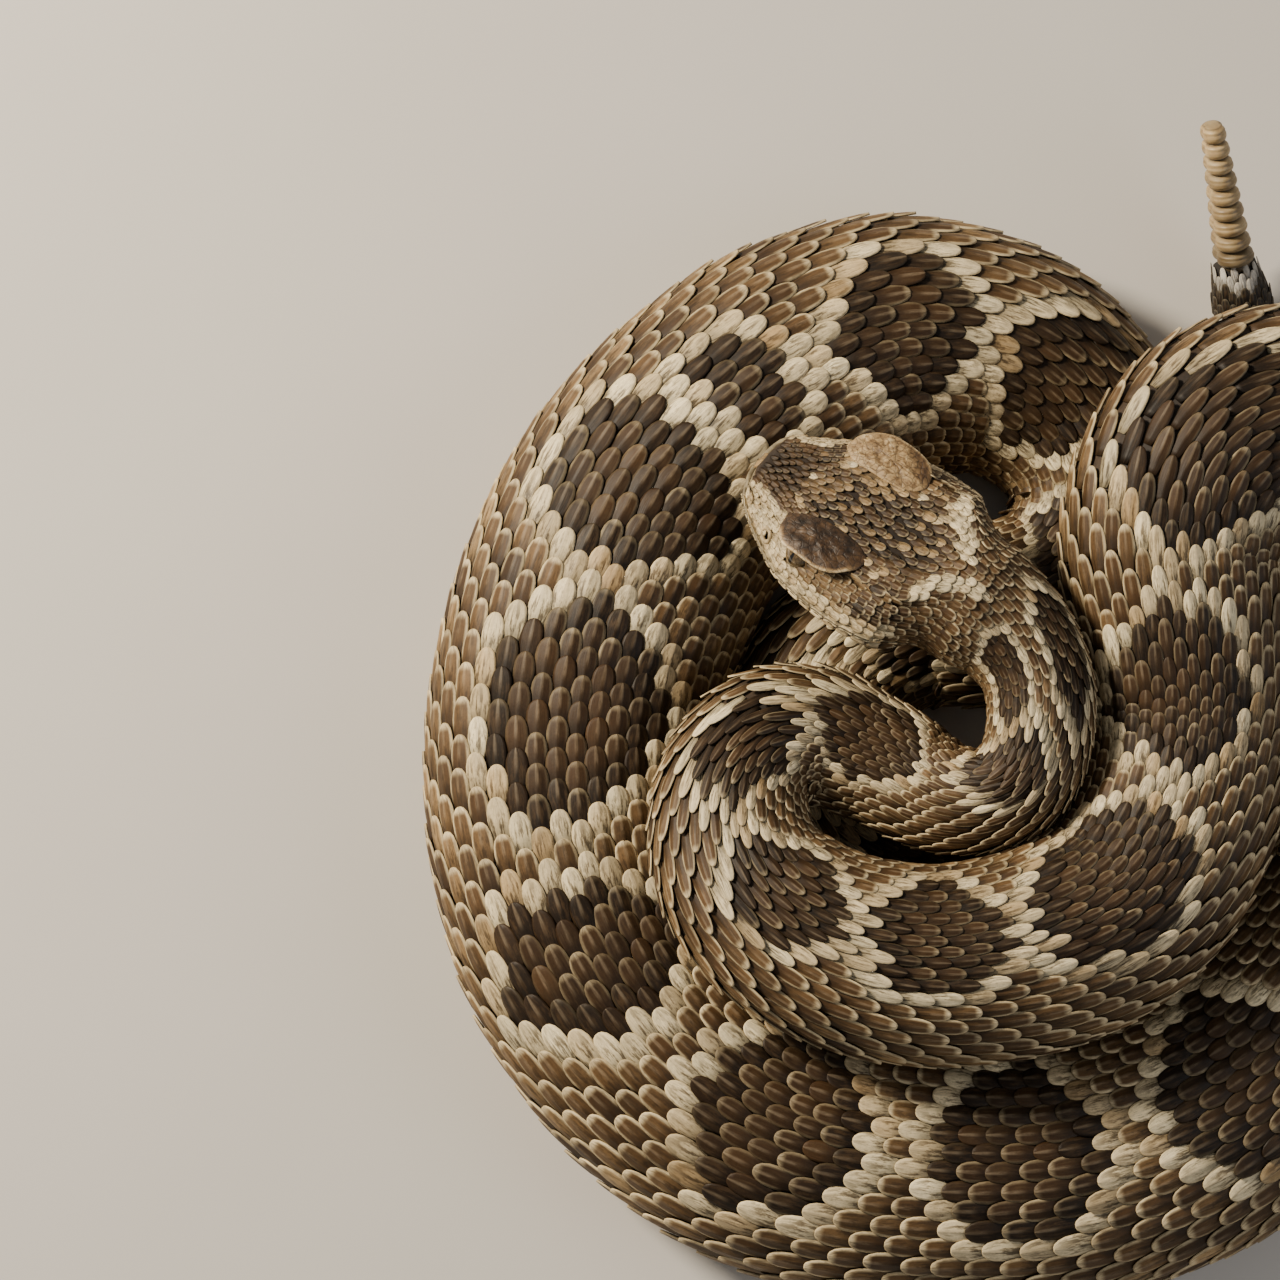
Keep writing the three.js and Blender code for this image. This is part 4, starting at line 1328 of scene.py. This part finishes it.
# %% Crown scales
def small_bed(distance, turn, lift, back, size, tone, outline_share, patch):
    """How small scales of the head lie, each rooted this far in front of its place."""
    outwards, tailwards, _ = axes_on(distance, turn)
    return {
        "place": on_skin(distance, turn, lift - COAT_DEPTH) - tailwards * np.reshape(back, (-1, 1)),
        "outwards": outwards, "tailwards": tailwards, "size": size, "tone": np.clip(tone, 0, 1),
        "outline": np.clip(outline_share, 0, 1), "shade": rng.random(len(distance)),
        "root_map": np.stack([*patch, 0 * distance], -1),
    }


def free_places(distance, turn):
    """Which places are clear of the eyes, brow shields, pits and nostrils."""
    lift = 0.08 - COAT_DEPTH
    place, (across, _) = on_skin(distance, turn, lift), outline(distance, turn)
    free = np.ones(len(distance), bool)
    for side in (1, -1):
        free &= np.linalg.norm(place - eye_centre(side), axis=-1) > EYE_RADIUS + 0.35
        over_brow = (((distance - BROW_DISTANCE) / (BROW_HALF[1] - 0.6)) ** 2
                     + ((across - side * BROW_ACROSS) / (BROW_HALF[0] - 0.5)) ** 2)
        free &= (over_brow > 1) | (np.abs(turn) < 6.9)
    for centre, radius, _ in hollows:
        free &= np.linalg.norm(place - centre, axis=-1) > radius + 0.3
    return free


distance, turn = crown_places()
free = free_places(distance, turn)
distance, turn = distance[free], turn[free]
count = len(distance)
size = along(CROWN_SPACING, distance)
size_spread = rng.normal(1, 0.07, count)
flecks = (rng.random(count) < 0.22) & (np.abs(turn) > 8.4) & (distance > 11) & (distance < 44)
tone = head_tone(distance, turn) + rng.normal(0, 0.045, count) + 0.5 * flecks
crown_bed = small_bed(
    distance, turn, 0.08, 0.62 * size,
    np.stack([1.1 * size * size_spread, 1.72 * size * size_spread, 0.34 + 0 * size], -1),
    tone, head_outline(distance, turn) + rng.normal(0, 0.12, count),
    (0.02 + 0.96 * distance / 60, 0.02 + 0.96 * (turn + RIDGE) / (2 * RIDGE)))
crown_scales = lay_scales("crown_scales", crown_bed, keeled_leaf, BACK_SCALES, tip_lift=0.13,
                          lift_variation=0.06, size_variation=0.08)
print("small scales of the head:", count)

# %% [markdown]
# Behind the lips, small scales close the corners of the mouth on both sides, in rings as on the crown.

# %% Corner of the mouth
CORNER_SPACING, CORNER_TURNS, CORNER_RANGE = 2.2, (2.2, 5.3), (46.6, 59.5)
corner_distance, corner_turn = [], []
for number, ring in enumerate(np.arange(*CORNER_RANGE, 0.85 * CORNER_SPACING)):
    count = max(2, round(arc_length(ring, *CORNER_TURNS) / CORNER_SPACING))
    steps = (np.arange(count) + 0.5 * (number % 2) + 0.25) / count
    for side in (1, -1):
        corner_turn += list(side * (CORNER_TURNS[0] + steps * (CORNER_TURNS[1] - CORNER_TURNS[0])))
        corner_distance += [ring] * count
distance, turn = np.array(corner_distance), np.array(corner_turn)
count = len(distance)
corner_bed = small_bed(distance, turn, 0.06, 1.5, np.tile((2.5, 3.7, 0.36), (count, 1)),
                       rng.normal(0.3, 0.05, count), rng.normal(0.75, 0.1, count),
                       (0.02 + 0.96 * (distance - 46) / 14, 0.5 + 0.09 * turn))
corner_scales = lay_scales("mouth_corner_scales", corner_bed, keeled_leaf, BACK_SCALES, tip_lift=0.09)
print("scales at the corners of the mouth:", count)

# %% [markdown]
# The throat carries smooth scales in thirteen rows, as pale as the belly, from the chin to the first
# belly plates.

# %% Throat scales
THROAT_ROWS, THROAT_STEP = 13, 2.6
THROAT_EDGE = [(0, 2.1), (44, 2.15), (50, 3.0), (56, 3.2)]
distance, share = np.meshgrid(np.arange(5, 53, THROAT_STEP), np.linspace(-1, 1, THROAT_ROWS), indexing="ij")
distance = distance + 0.5 * THROAT_STEP * (np.arange(THROAT_ROWS) % 2)
turn = share * along(THROAT_EDGE, distance)
throat_gap = np.abs(np.gradient(outline(distance, turn)[0], axis=1)).ravel() + 0.8
distance, turn = distance.ravel(), turn.ravel()
count = len(distance)
throat_bed = small_bed(distance, turn, 0.05, 1.4,
                       np.stack([1.1 * throat_gap, np.full(count, 3.5), np.full(count, 0.28)], -1),
                       rng.normal(0.85, 0.05, count), np.zeros(count),
                       (0.02 + 0.96 * distance / 60, 0.5 + 0.1 * turn))
throat_scales = lay_scales("throat_scales", throat_bed, smooth_leaf, BELLY_FINISH, tip_lift=0.08)
print("throat scales:", count)

# %% [markdown]
# The skin sinks in at the pits and nostrils, and painted shade makes it black inside these hollows and
# along the mouth line. The change is made on the finished skin, because a hollow is a matter of distance
# from one point.

# %% Hollows of the skin
tones = skin_tone(grid_distance, share_of(grid_distance, grid_turn))
tones = np.where(grid_distance < HEAD_LENGTH, head_tone(grid_distance, grid_turn), tones)
sunk = skin_points.copy()
for centre, radius, outward in hollows:
    gap = np.linalg.norm(sunk - centre, axis=-1)
    sunk -= outward * (1.7 * radius * np.clip(1 - (gap / (1.15 * radius)) ** 2, 0, 1))[:, None]
    # Painted shade: black inside each pit and nostril.
    tones[gap < 1.1 * radius] = 0.0
tones[grid_distance > TAIL_START + 4] = 0.01
# Painted shade: a black line along the groove of the mouth, under the edge of the upper lip.
tones[(np.abs(np.abs(grid_turn) - SEAM_TURN) < 0.2) & (grid_distance < 49)] = 0.0
skin.data.vertices.foreach_set("co", (sunk * MM).ravel())
store(skin.data, "tone", tones)
skin.data.update()
print("hollows sunk:", len(hollows))

# %% [markdown]
# A pit viper's frown is its brow shield: one broad plate over each eye, with a sharp outer edge that
# stands clear of the head like the peak of a cap. It has a finish of its own, which mixes clouds, folds
# and a net of fine cracks.

# %% Brow finish
def brow_finish():
    material, tree, shader = new_material("brow_horn")
    here = add_node(tree, "ShaderNodeTexCoord").outputs["Object"]
    clouds, grit = noise(tree, here, 330.0, 5.0, 0.62), noise(tree, here, 1700.0, 4.0, 0.7)
    cracks = add_node(tree, "ShaderNodeTexVoronoi", {"Vector": here, "Scale": 620.0, "Randomness": 1.0},
                      feature="DISTANCE_TO_EDGE").outputs["Distance"]
    crack = remap(tree, cracks, 0.0, 0.09, 0.52, 1.0)
    ground = colour_ramp(tree, clouded_tone(tree, clouds, (0.32, 0.68, -0.13, 0.15)), COAT_COLOURS)
    grey_factor = maths(tree, "MULTIPLY", crack, remap(tree, grit, 0.3, 0.7, 0.82, 1.16, "LINEAR"))
    height = maths(tree, "ADD", maths(tree, "MULTIPLY", crack, 0.8), maths(tree, "ADD", clouds, grit))
    dress(tree, shader, shaded(tree, ground, grey_factor), remap(tree, grit, 0.3, 0.7, 0.42, 0.62, "LINEAR"),
          height, 0.5, 0.00025)
    return material


BROW_FINISH = brow_finish()
print("finish of the brow:", BROW_FINISH.name)

# %% [markdown]
# The outline of a brow shield is a rounded lozenge. Its top is folded and cracked like old horn, and
# its lower side is hollow over the eye. It is built from two domes of points that meet in its edge.

# %% Brow shields
BROW_RISE, BROW_UNDER, BROW_TILT, BROW_CORNER = 0.75, 1.3, 0.03, 2.5
BROW_STEPS = 96
BROW_RINGS = [*np.linspace(0, 0.92, 18), 0.95, 0.98, 1.0]


def brow_tone(x, y, reach, side):
    """The left shield is painted in shade, dark with a pale outer rim; the right one is painted lit, tan
    with a dark rear corner.
    """
    if side > 0:
        tone = 0.10 + 0.10 * math.exp(-((x - 0.15) / 0.2) ** 2 - ((y + 0.1) / 0.5) ** 2)
    else:
        tone = 0.60 - 0.44 * float(soft_step(0.35, 0.95, 0.75 * y + 0.6 * x))
    rim = float(soft_step(0.86, 0.97, reach)) * float(soft_step(0.0, 0.5, x))
    return tone + (0.68 - tone) * rim


def brow_relief(x, y, side):
    """Height of the folds of old horn in mm, and how deep a crack is here, from 0 to 1."""
    here = Vector((1.5 * x + 3 * side, 2.4 * y, 0.5))
    near, next_near = relief.voronoi(2.4 * here)[0][:2]
    crack = max(0.0, 1 - (next_near - near) / 0.16)
    return 0.42 * relief.noise(1.7 * here) + 0.16 * relief.noise(5 * here) - 0.15 * crack, crack


def brow_point(upper, reach, angle, side):
    """A point of a brow shield, and its tone."""
    outer, long = math.cos(angle), math.sin(angle)
    square = (abs(outer) ** BROW_CORNER + abs(long) ** BROW_CORNER) ** (-1 / BROW_CORNER)
    x = reach * square * outer * (1.04 if outer > 0 else 0.92)
    y = reach * square * long * (1 - 0.12 * outer)
    uneven = 1 + 0.07 * relief.noise(Vector((1.6 * outer, 1.6 * long, 2 * side)))
    x, y = x * uneven, y * uneven
    fold, crack = brow_relief(x, y, side)
    if upper:
        z = BROW_RISE * (1 - reach ** 3) ** 0.7 + 0.2 + fold * (1 - reach ** 6)
    else:
        z = 0.05 - BROW_UNDER * math.sqrt(1 - reach ** 2)
    z += 0.1 + BROW_TILT * BROW_HALF[0] * x - 0.5 * y * y - 0.35 * max(0, x) ** 2
    distance = BROW_DISTANCE + BROW_HALF[1] * y
    point = on_head(distance, side * (BROW_ACROSS + BROW_HALF[0] * x), float(along(TOP, distance)) + z)
    return point, brow_tone(x, y, reach, side) * (1 - 0.5 * crack * (reach < 0.9))


def make_brow(name, side):
    made = [brow_point(upper, reach, 2 * math.pi * k / BROW_STEPS, side) for upper in (True, False)
            for reach in BROW_RINGS for k in range(BROW_STEPS if reach > 0 else 1)]
    half, rings = len(made) // 2, len(BROW_RINGS) - 1
    rim = range(half - BROW_STEPS, half)
    faces = dome_faces(0, rings, BROW_STEPS)
    faces += [face[::-1] for face in dome_faces(half, rings, BROW_STEPS)]
    faces += [(a, half + a, half + b, b) for a, b in zip(rim, [*rim[1:], rim[0]])]
    piece = shell_object(name, [point for point, _ in made], faces, BROW_FINISH)
    store(piece.data, "tone", [tone for _, tone in made])
    return piece


brows = [make_brow("brow_shield_left", 1), make_brow("brow_shield_right", -1)]
print("brow shields:", len(brows))

# %% [markdown]
# Pits, nostrils and eyes are framed by soft raised rims. Each rim is a ring of round section, turned
# from two loops round the direction in which its hollow or eye looks.

# %% Rims
def unit(vector):
    return vector / np.linalg.norm(vector)


def make_rim(name, centre, look, radius, thick, tone, steps=28, around=10):
    look = unit(look)
    first = unit(np.cross(look, (0.1, 0.2, 1.0)))
    second = np.cross(look, first)
    points, leaf, faces = [], [], []
    for k in range(steps):
        angle = 2 * math.pi * k / steps
        outward = first * math.cos(angle) + second * math.sin(angle)
        swell = thick * (1 + 0.12 * math.sin(5 * angle))
        for j in range(around):
            turn_round = 2 * math.pi * j / around
            points.append(centre + outward * (radius + swell * math.cos(turn_round))
                          + look * swell * math.sin(turn_round))
            leaf.append((0.5 * math.cos(turn_round), 0.65, 0))
            here, after, beside = k * around, (k + 1) % steps * around, (j + 1) % around
            faces.append((here + j, after + j, after + beside, here + beside))
    piece = shell_object(name, points, faces, BACK_SCALES)
    count = len(points)
    store_horn(piece.data, leaf, np.full(count, tone), np.full(count, 0.2),
               0.5 + 0.4 * np.sin(np.arange(count) // around))
    return piece


HOLLOW_NAMES = ["pit_rim_left", "nostril_rim_left", "pit_rim_right", "nostril_rim_right"]
rims = [make_rim(name, centre + outward * 0.35, outward, radius * 0.98, 0.27 * radius + 0.1, 0.72)
        for name, (centre, radius, outward) in zip(HOLLOW_NAMES, hollows)]
print("rims of pits and nostrils:", len(rims))

# %% [markdown]
# The eye is a ball with a horn-coloured iris and the upright slit of a night hunter. Its pattern reads
# an attribute that holds, for each point, how far it lies in front of, above and outside the middle of
# the ball, so that the slit stays upright in the head. Gloss comes from a clear coat over it.

# %% Eye finish
IRIS_COLOURS = [(0.3, (0.030, 0.019, 0.009, 1)), (0.5, (0.095, 0.062, 0.028, 1)),
                (0.72, (0.24, 0.175, 0.085, 1))]
PUPIL_COLOUR = (0.004, 0.004, 0.004, 1)
PUPIL_HALF = (0.13, 0.66)  # half width and half height of the slit, as shares of the radius


def eye_finish():
    material, tree, shader = new_material("snake_eye")
    gaze = read_attribute(tree, "gaze", "Vector")
    parts = add_node(tree, "ShaderNodeSeparateXYZ", {0: gaze}).outputs
    slit, tall = (maths(tree, "POWER", maths(tree, "DIVIDE", maths(tree, "ABSOLUTE", part), half), 2.0)
                  for part, half in zip(parts, PUPIL_HALF))
    pupil = remap(tree, maths(tree, "ADD", slit, tall), 0.85, 1.1, 1.0, 0.0)
    iris = shaded(tree, colour_ramp(tree, noise(tree, gaze, 9.0, 5.0, 0.7), IRIS_COLOURS),
                  remap(tree, parts["Z"], 0.25, 0.6, 0.25, 1.0))
    tree.links.new(blend_colour(tree, pupil, iris, PUPIL_COLOUR), shader.inputs["Base Color"])
    for key, value in {"Roughness": 0.12, "Coat Weight": 1.0, "Coat Roughness": 0.03}.items():
        shader.inputs[key].default_value = value
    return material


EYE_FINISH = eye_finish()
print("colours of the iris:", len(IRIS_COLOURS))

# %% [markdown]
# Each eye looks outwards, a little up and a little forwards, which is towards the snout.

# %% Eyes
EYE_STEPS, EYE_RINGS = 40, 24
EYE_RIM_OUT, EYE_RIM_RADIUS, EYE_RIM_THICK = 1.35, 3.2, 0.5


def make_eye(name, side):
    """The ball of one eye, and the rim round it, which joins the other rims."""
    forward, right, high = rolled_axes(EYE_DISTANCE)
    look = unit(side * right * 0.94 + high * 0.26 - forward * 0.22)
    back = unit(forward - look * np.dot(forward, look))
    top = np.cross(look, back)
    top = top * (1 if np.dot(top, high) > 0 else -1)
    gaze = []
    for r in range(EYE_RINGS + 1):
        tilt = math.pi * r / EYE_RINGS
        for k in range(EYE_STEPS if 0 < r < EYE_RINGS else 1):
            angle = 2 * math.pi * k / EYE_STEPS
            gaze.append((math.sin(tilt) * math.cos(angle), math.sin(tilt) * math.sin(angle), math.cos(tilt)))
    last = len(gaze) - 1
    lowest = last - EYE_STEPS
    faces = dome_faces(0, EYE_RINGS - 1, EYE_STEPS)
    faces += [(lowest + k, last, lowest + (k + 1) % EYE_STEPS) for k in range(EYE_STEPS)]
    centre = eye_centre(side)
    points = centre + EYE_RADIUS * np.array(gaze) @ np.array([back, top, look])
    piece = shell_object(name, points, faces, EYE_FINISH)
    store(piece.data, "gaze", gaze, "FLOAT_VECTOR")
    rims.append(make_rim(name.replace("snake_eye", "eye_rim"), centre + look * EYE_RIM_OUT, look,
                         EYE_RIM_RADIUS, EYE_RIM_THICK, 0.22, steps=40))
    return piece


eyes = [make_eye("snake_eye_left", 1), make_eye("snake_eye_right", -1)]
head_shields = shields.finish("lip_and_snout_shields", BACK_SCALES)
print("eyes:", len(eyes), "- shields:", len(shields.tone))

# %% [markdown]
# The rattle is a chain of hollow horn segments, each a flattened bulb that clasps the one before it.
# All follow one profile, so they are one loft whose rings come from a loop. A furrow runs along each
# flat side, and every segment is a little smaller than the one before.

# %% Horn finish
RATTLE_SEGMENTS, RATTLE_PITCH, RATTLE_WIDE, RATTLE_HIGH = 9, 3.7, 4.8, 6.6
RATTLE_END = 0.62  # size of the last segment beside the first
RATTLE_RISE, RATTLE_CLEAR = math.radians(10), 0.4
RATTLE_PROFILE = [(0.0, 0.70), (0.06, 0.80), (0.16, 0.92), (0.3, 0.985), (0.45, 1.0), (0.58, 0.975),
                  (0.66, 0.93), (0.72, 0.955), (0.82, 0.90), (0.9, 0.80), (0.96, 0.71)]
RATTLE_SIDES = 40
HORN_COLOURS = [(0.3, (0.17, 0.10, 0.045, 1)), (0.5, (0.42, 0.30, 0.15, 1)), (0.7, (0.62, 0.49, 0.29, 1))]


def horn_finish():
    material, tree, shader = new_material("rattle_horn")
    here = add_node(tree, "ShaderNodeTexCoord").outputs["Object"]
    ring = maths(tree, "MULTIPLY", read_attribute(tree, "ring"), 40.0)
    lines = noise(tree, add_node(tree, "ShaderNodeCombineXYZ", {0: ring}).outputs[0], 1.0, 2.0)
    stain = noise(tree, here, 260.0, 4.0, 0.6)
    mixed = maths(tree, "ADD", maths(tree, "MULTIPLY", lines, 0.5), maths(tree, "MULTIPLY", stain, 0.5))
    joint = maths(tree, "MULTIPLY", remap(tree, read_attribute(tree, "joint"), 0.0, 0.25, 0.3, 1.0),
                  read_attribute(tree, "age"))
    dress(tree, shader, shaded(tree, colour_ramp(tree, mixed, HORN_COLOURS), joint),
          remap(tree, stain, 0.3, 0.7, 0.36, 0.6, "LINEAR"), mixed, 0.4, 0.0002)
    shader.inputs["Subsurface Weight"].default_value = 0.08
    shader.inputs["Subsurface Radius"].default_value = (0.002, 0.001, 0.0005)
    return material


HORN_FINISH = horn_finish()
print("colours of the horn:", len(HORN_COLOURS))

# %% [markdown]
# The loft starts with a short plug inside the tail and ends with a small flat cap.

# %% Rattle
def rattle_rings():
    """Distance along the rattle, size and nearness to a joint of each ring of the loft."""
    rings = [(-1.2, 0.02, 0.0), (-1.2, 0.74, 0.0), (-0.2, 0.76, 0.1)]
    for i in range(RATTLE_SEGMENTS):
        taper = 1 + (RATTLE_END - 1) * i / (RATTLE_SEGMENTS - 1)
        rings += [((i + step) * RATTLE_PITCH, size * taper, min(step, 1 - step) * 2)
                  for step, size in RATTLE_PROFILE]
    end = RATTLE_SEGMENTS * RATTLE_PITCH
    return rings + [(end, 0.5 * RATTLE_END, 0.3), (end + 0.05, 0.02, 0.3)]


def make_rattle():
    origin, forward, right, up = station(np.array(BODY_LENGTH))
    middle = origin + up * TAIL_END_HEIGHT / 2 + forward * RATTLE_CLEAR
    axis = forward * math.cos(RATTLE_RISE) + up * math.sin(RATTLE_RISE)
    rise = np.cross(right, axis)
    segment_age = rng.uniform(0.7, 1.15, RATTLE_SEGMENTS + 2)
    segment_age[0] = 0.4
    rings, points, stored = rattle_rings(), [], []
    for distance, size, joint in rings:
        age = segment_age[int(max(0, distance) / RATTLE_PITCH)]
        for k in range(RATTLE_SIDES):
            angle = 2 * math.pi * k / RATTLE_SIDES
            furrow = 1 - 0.2 * math.exp(-(math.sin(angle) / 0.3) ** 2)
            points.append(middle + axis * distance + right * math.cos(angle) * RATTLE_WIDE * size * furrow
                          + rise * math.sin(angle) * RATTLE_HIGH * size)
            stored.append((distance / (RATTLE_SEGMENTS * RATTLE_PITCH), joint, age))
    piece = shell_object("horn_rattle", points, loft_faces(len(rings), RATTLE_SIDES), HORN_FINISH)
    for name, values in zip(("ring", "joint", "age"), zip(*stored)):
        store(piece.data, name, values)
    return piece


rattle = make_rattle()
print("rattle rings:", len(rattle.data.vertices) // RATTLE_SIDES)

# %% [markdown]
# A plain pale floor, a large soft light from the upper left like low sun through cloud, a weaker one
# from the right, and an even sky. Nothing else is in the studio.

# %% Studio
FLOOR_COLOURS = [(0.3, (0.60, 0.575, 0.54, 1)), (0.7, (0.63, 0.605, 0.57, 1))]
FLOOR_REACH = 8.0 / MM


def make_floor():
    material, tree, shader = new_material("floor_paper")
    here = add_node(tree, "ShaderNodeTexCoord").outputs["Object"]
    tree.links.new(colour_ramp(tree, noise(tree, here, 9.0), FLOOR_COLOURS), shader.inputs["Base Color"])
    shader.inputs["Roughness"].default_value = 0.9
    corners = [(x * FLOOR_REACH, y * FLOOR_REACH, 0) for x, y in ((-1, -1), (1, -1), (1, 1), (-1, 1))]
    floor = mesh_object("floor", corners, [(0, 1, 2, 3)], material, smooth=False)


def soft_light(name, place, size, power, colour):
    data = bpy.data.lights.new(name, "AREA")
    data.shape = "DISK"
    data.size = size
    data.energy = power
    data.color = colour
    light = bpy.data.objects.new(name, data)
    light.location = place
    light.rotation_euler = (-Vector(place)).to_track_quat("-Z", "Y").to_euler()
    bpy.context.scene.collection.objects.link(light)


make_floor()
soft_light("low_sun", (-0.80, 0.42, 0.62), 0.26, 22, (1.0, 0.87, 0.68))
soft_light("far_side", (0.9, -0.3, 0.8), 0.8, 3, (0.95, 0.96, 1.0))
world = bpy.data.worlds.new("even_sky")
world.use_nodes = True
world.node_tree.nodes["Background"].inputs["Color"].default_value = (1.0, 0.97, 0.93, 1)
world.node_tree.nodes["Background"].inputs["Strength"].default_value = 0.24
bpy.context.scene.world = world

# %% [markdown]
# Last, every piece rides on the one body of this still animal, and the solids that it stands for are
# hidden.

# %% Ride and replace
def place_piece(piece, finish_slot, *nodes):
    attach(piece, "root")
    if nodes:
        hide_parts(*nodes)


flesh = [name for name in frame["nodes"] if name.startswith(("neck", "body", "tail", "head"))]
place_piece(skin, "scaled_skin", *flesh)
for piece in coat_pieces + brows + rims + [crown_scales, corner_scales, belly]:
    place_piece(piece, "scaled_skin")
place_piece(head_shields, "scaled_skin", "lower_jaw")
place_piece(throat_scales, "lower_jaw")
place_piece(tail_coat, "tail_rings")
place_piece(eyes[0], "eye", "eye_left")
place_piece(eyes[1], "eye", "eye_right")
place_piece(rattle, "rattle", "rattle")
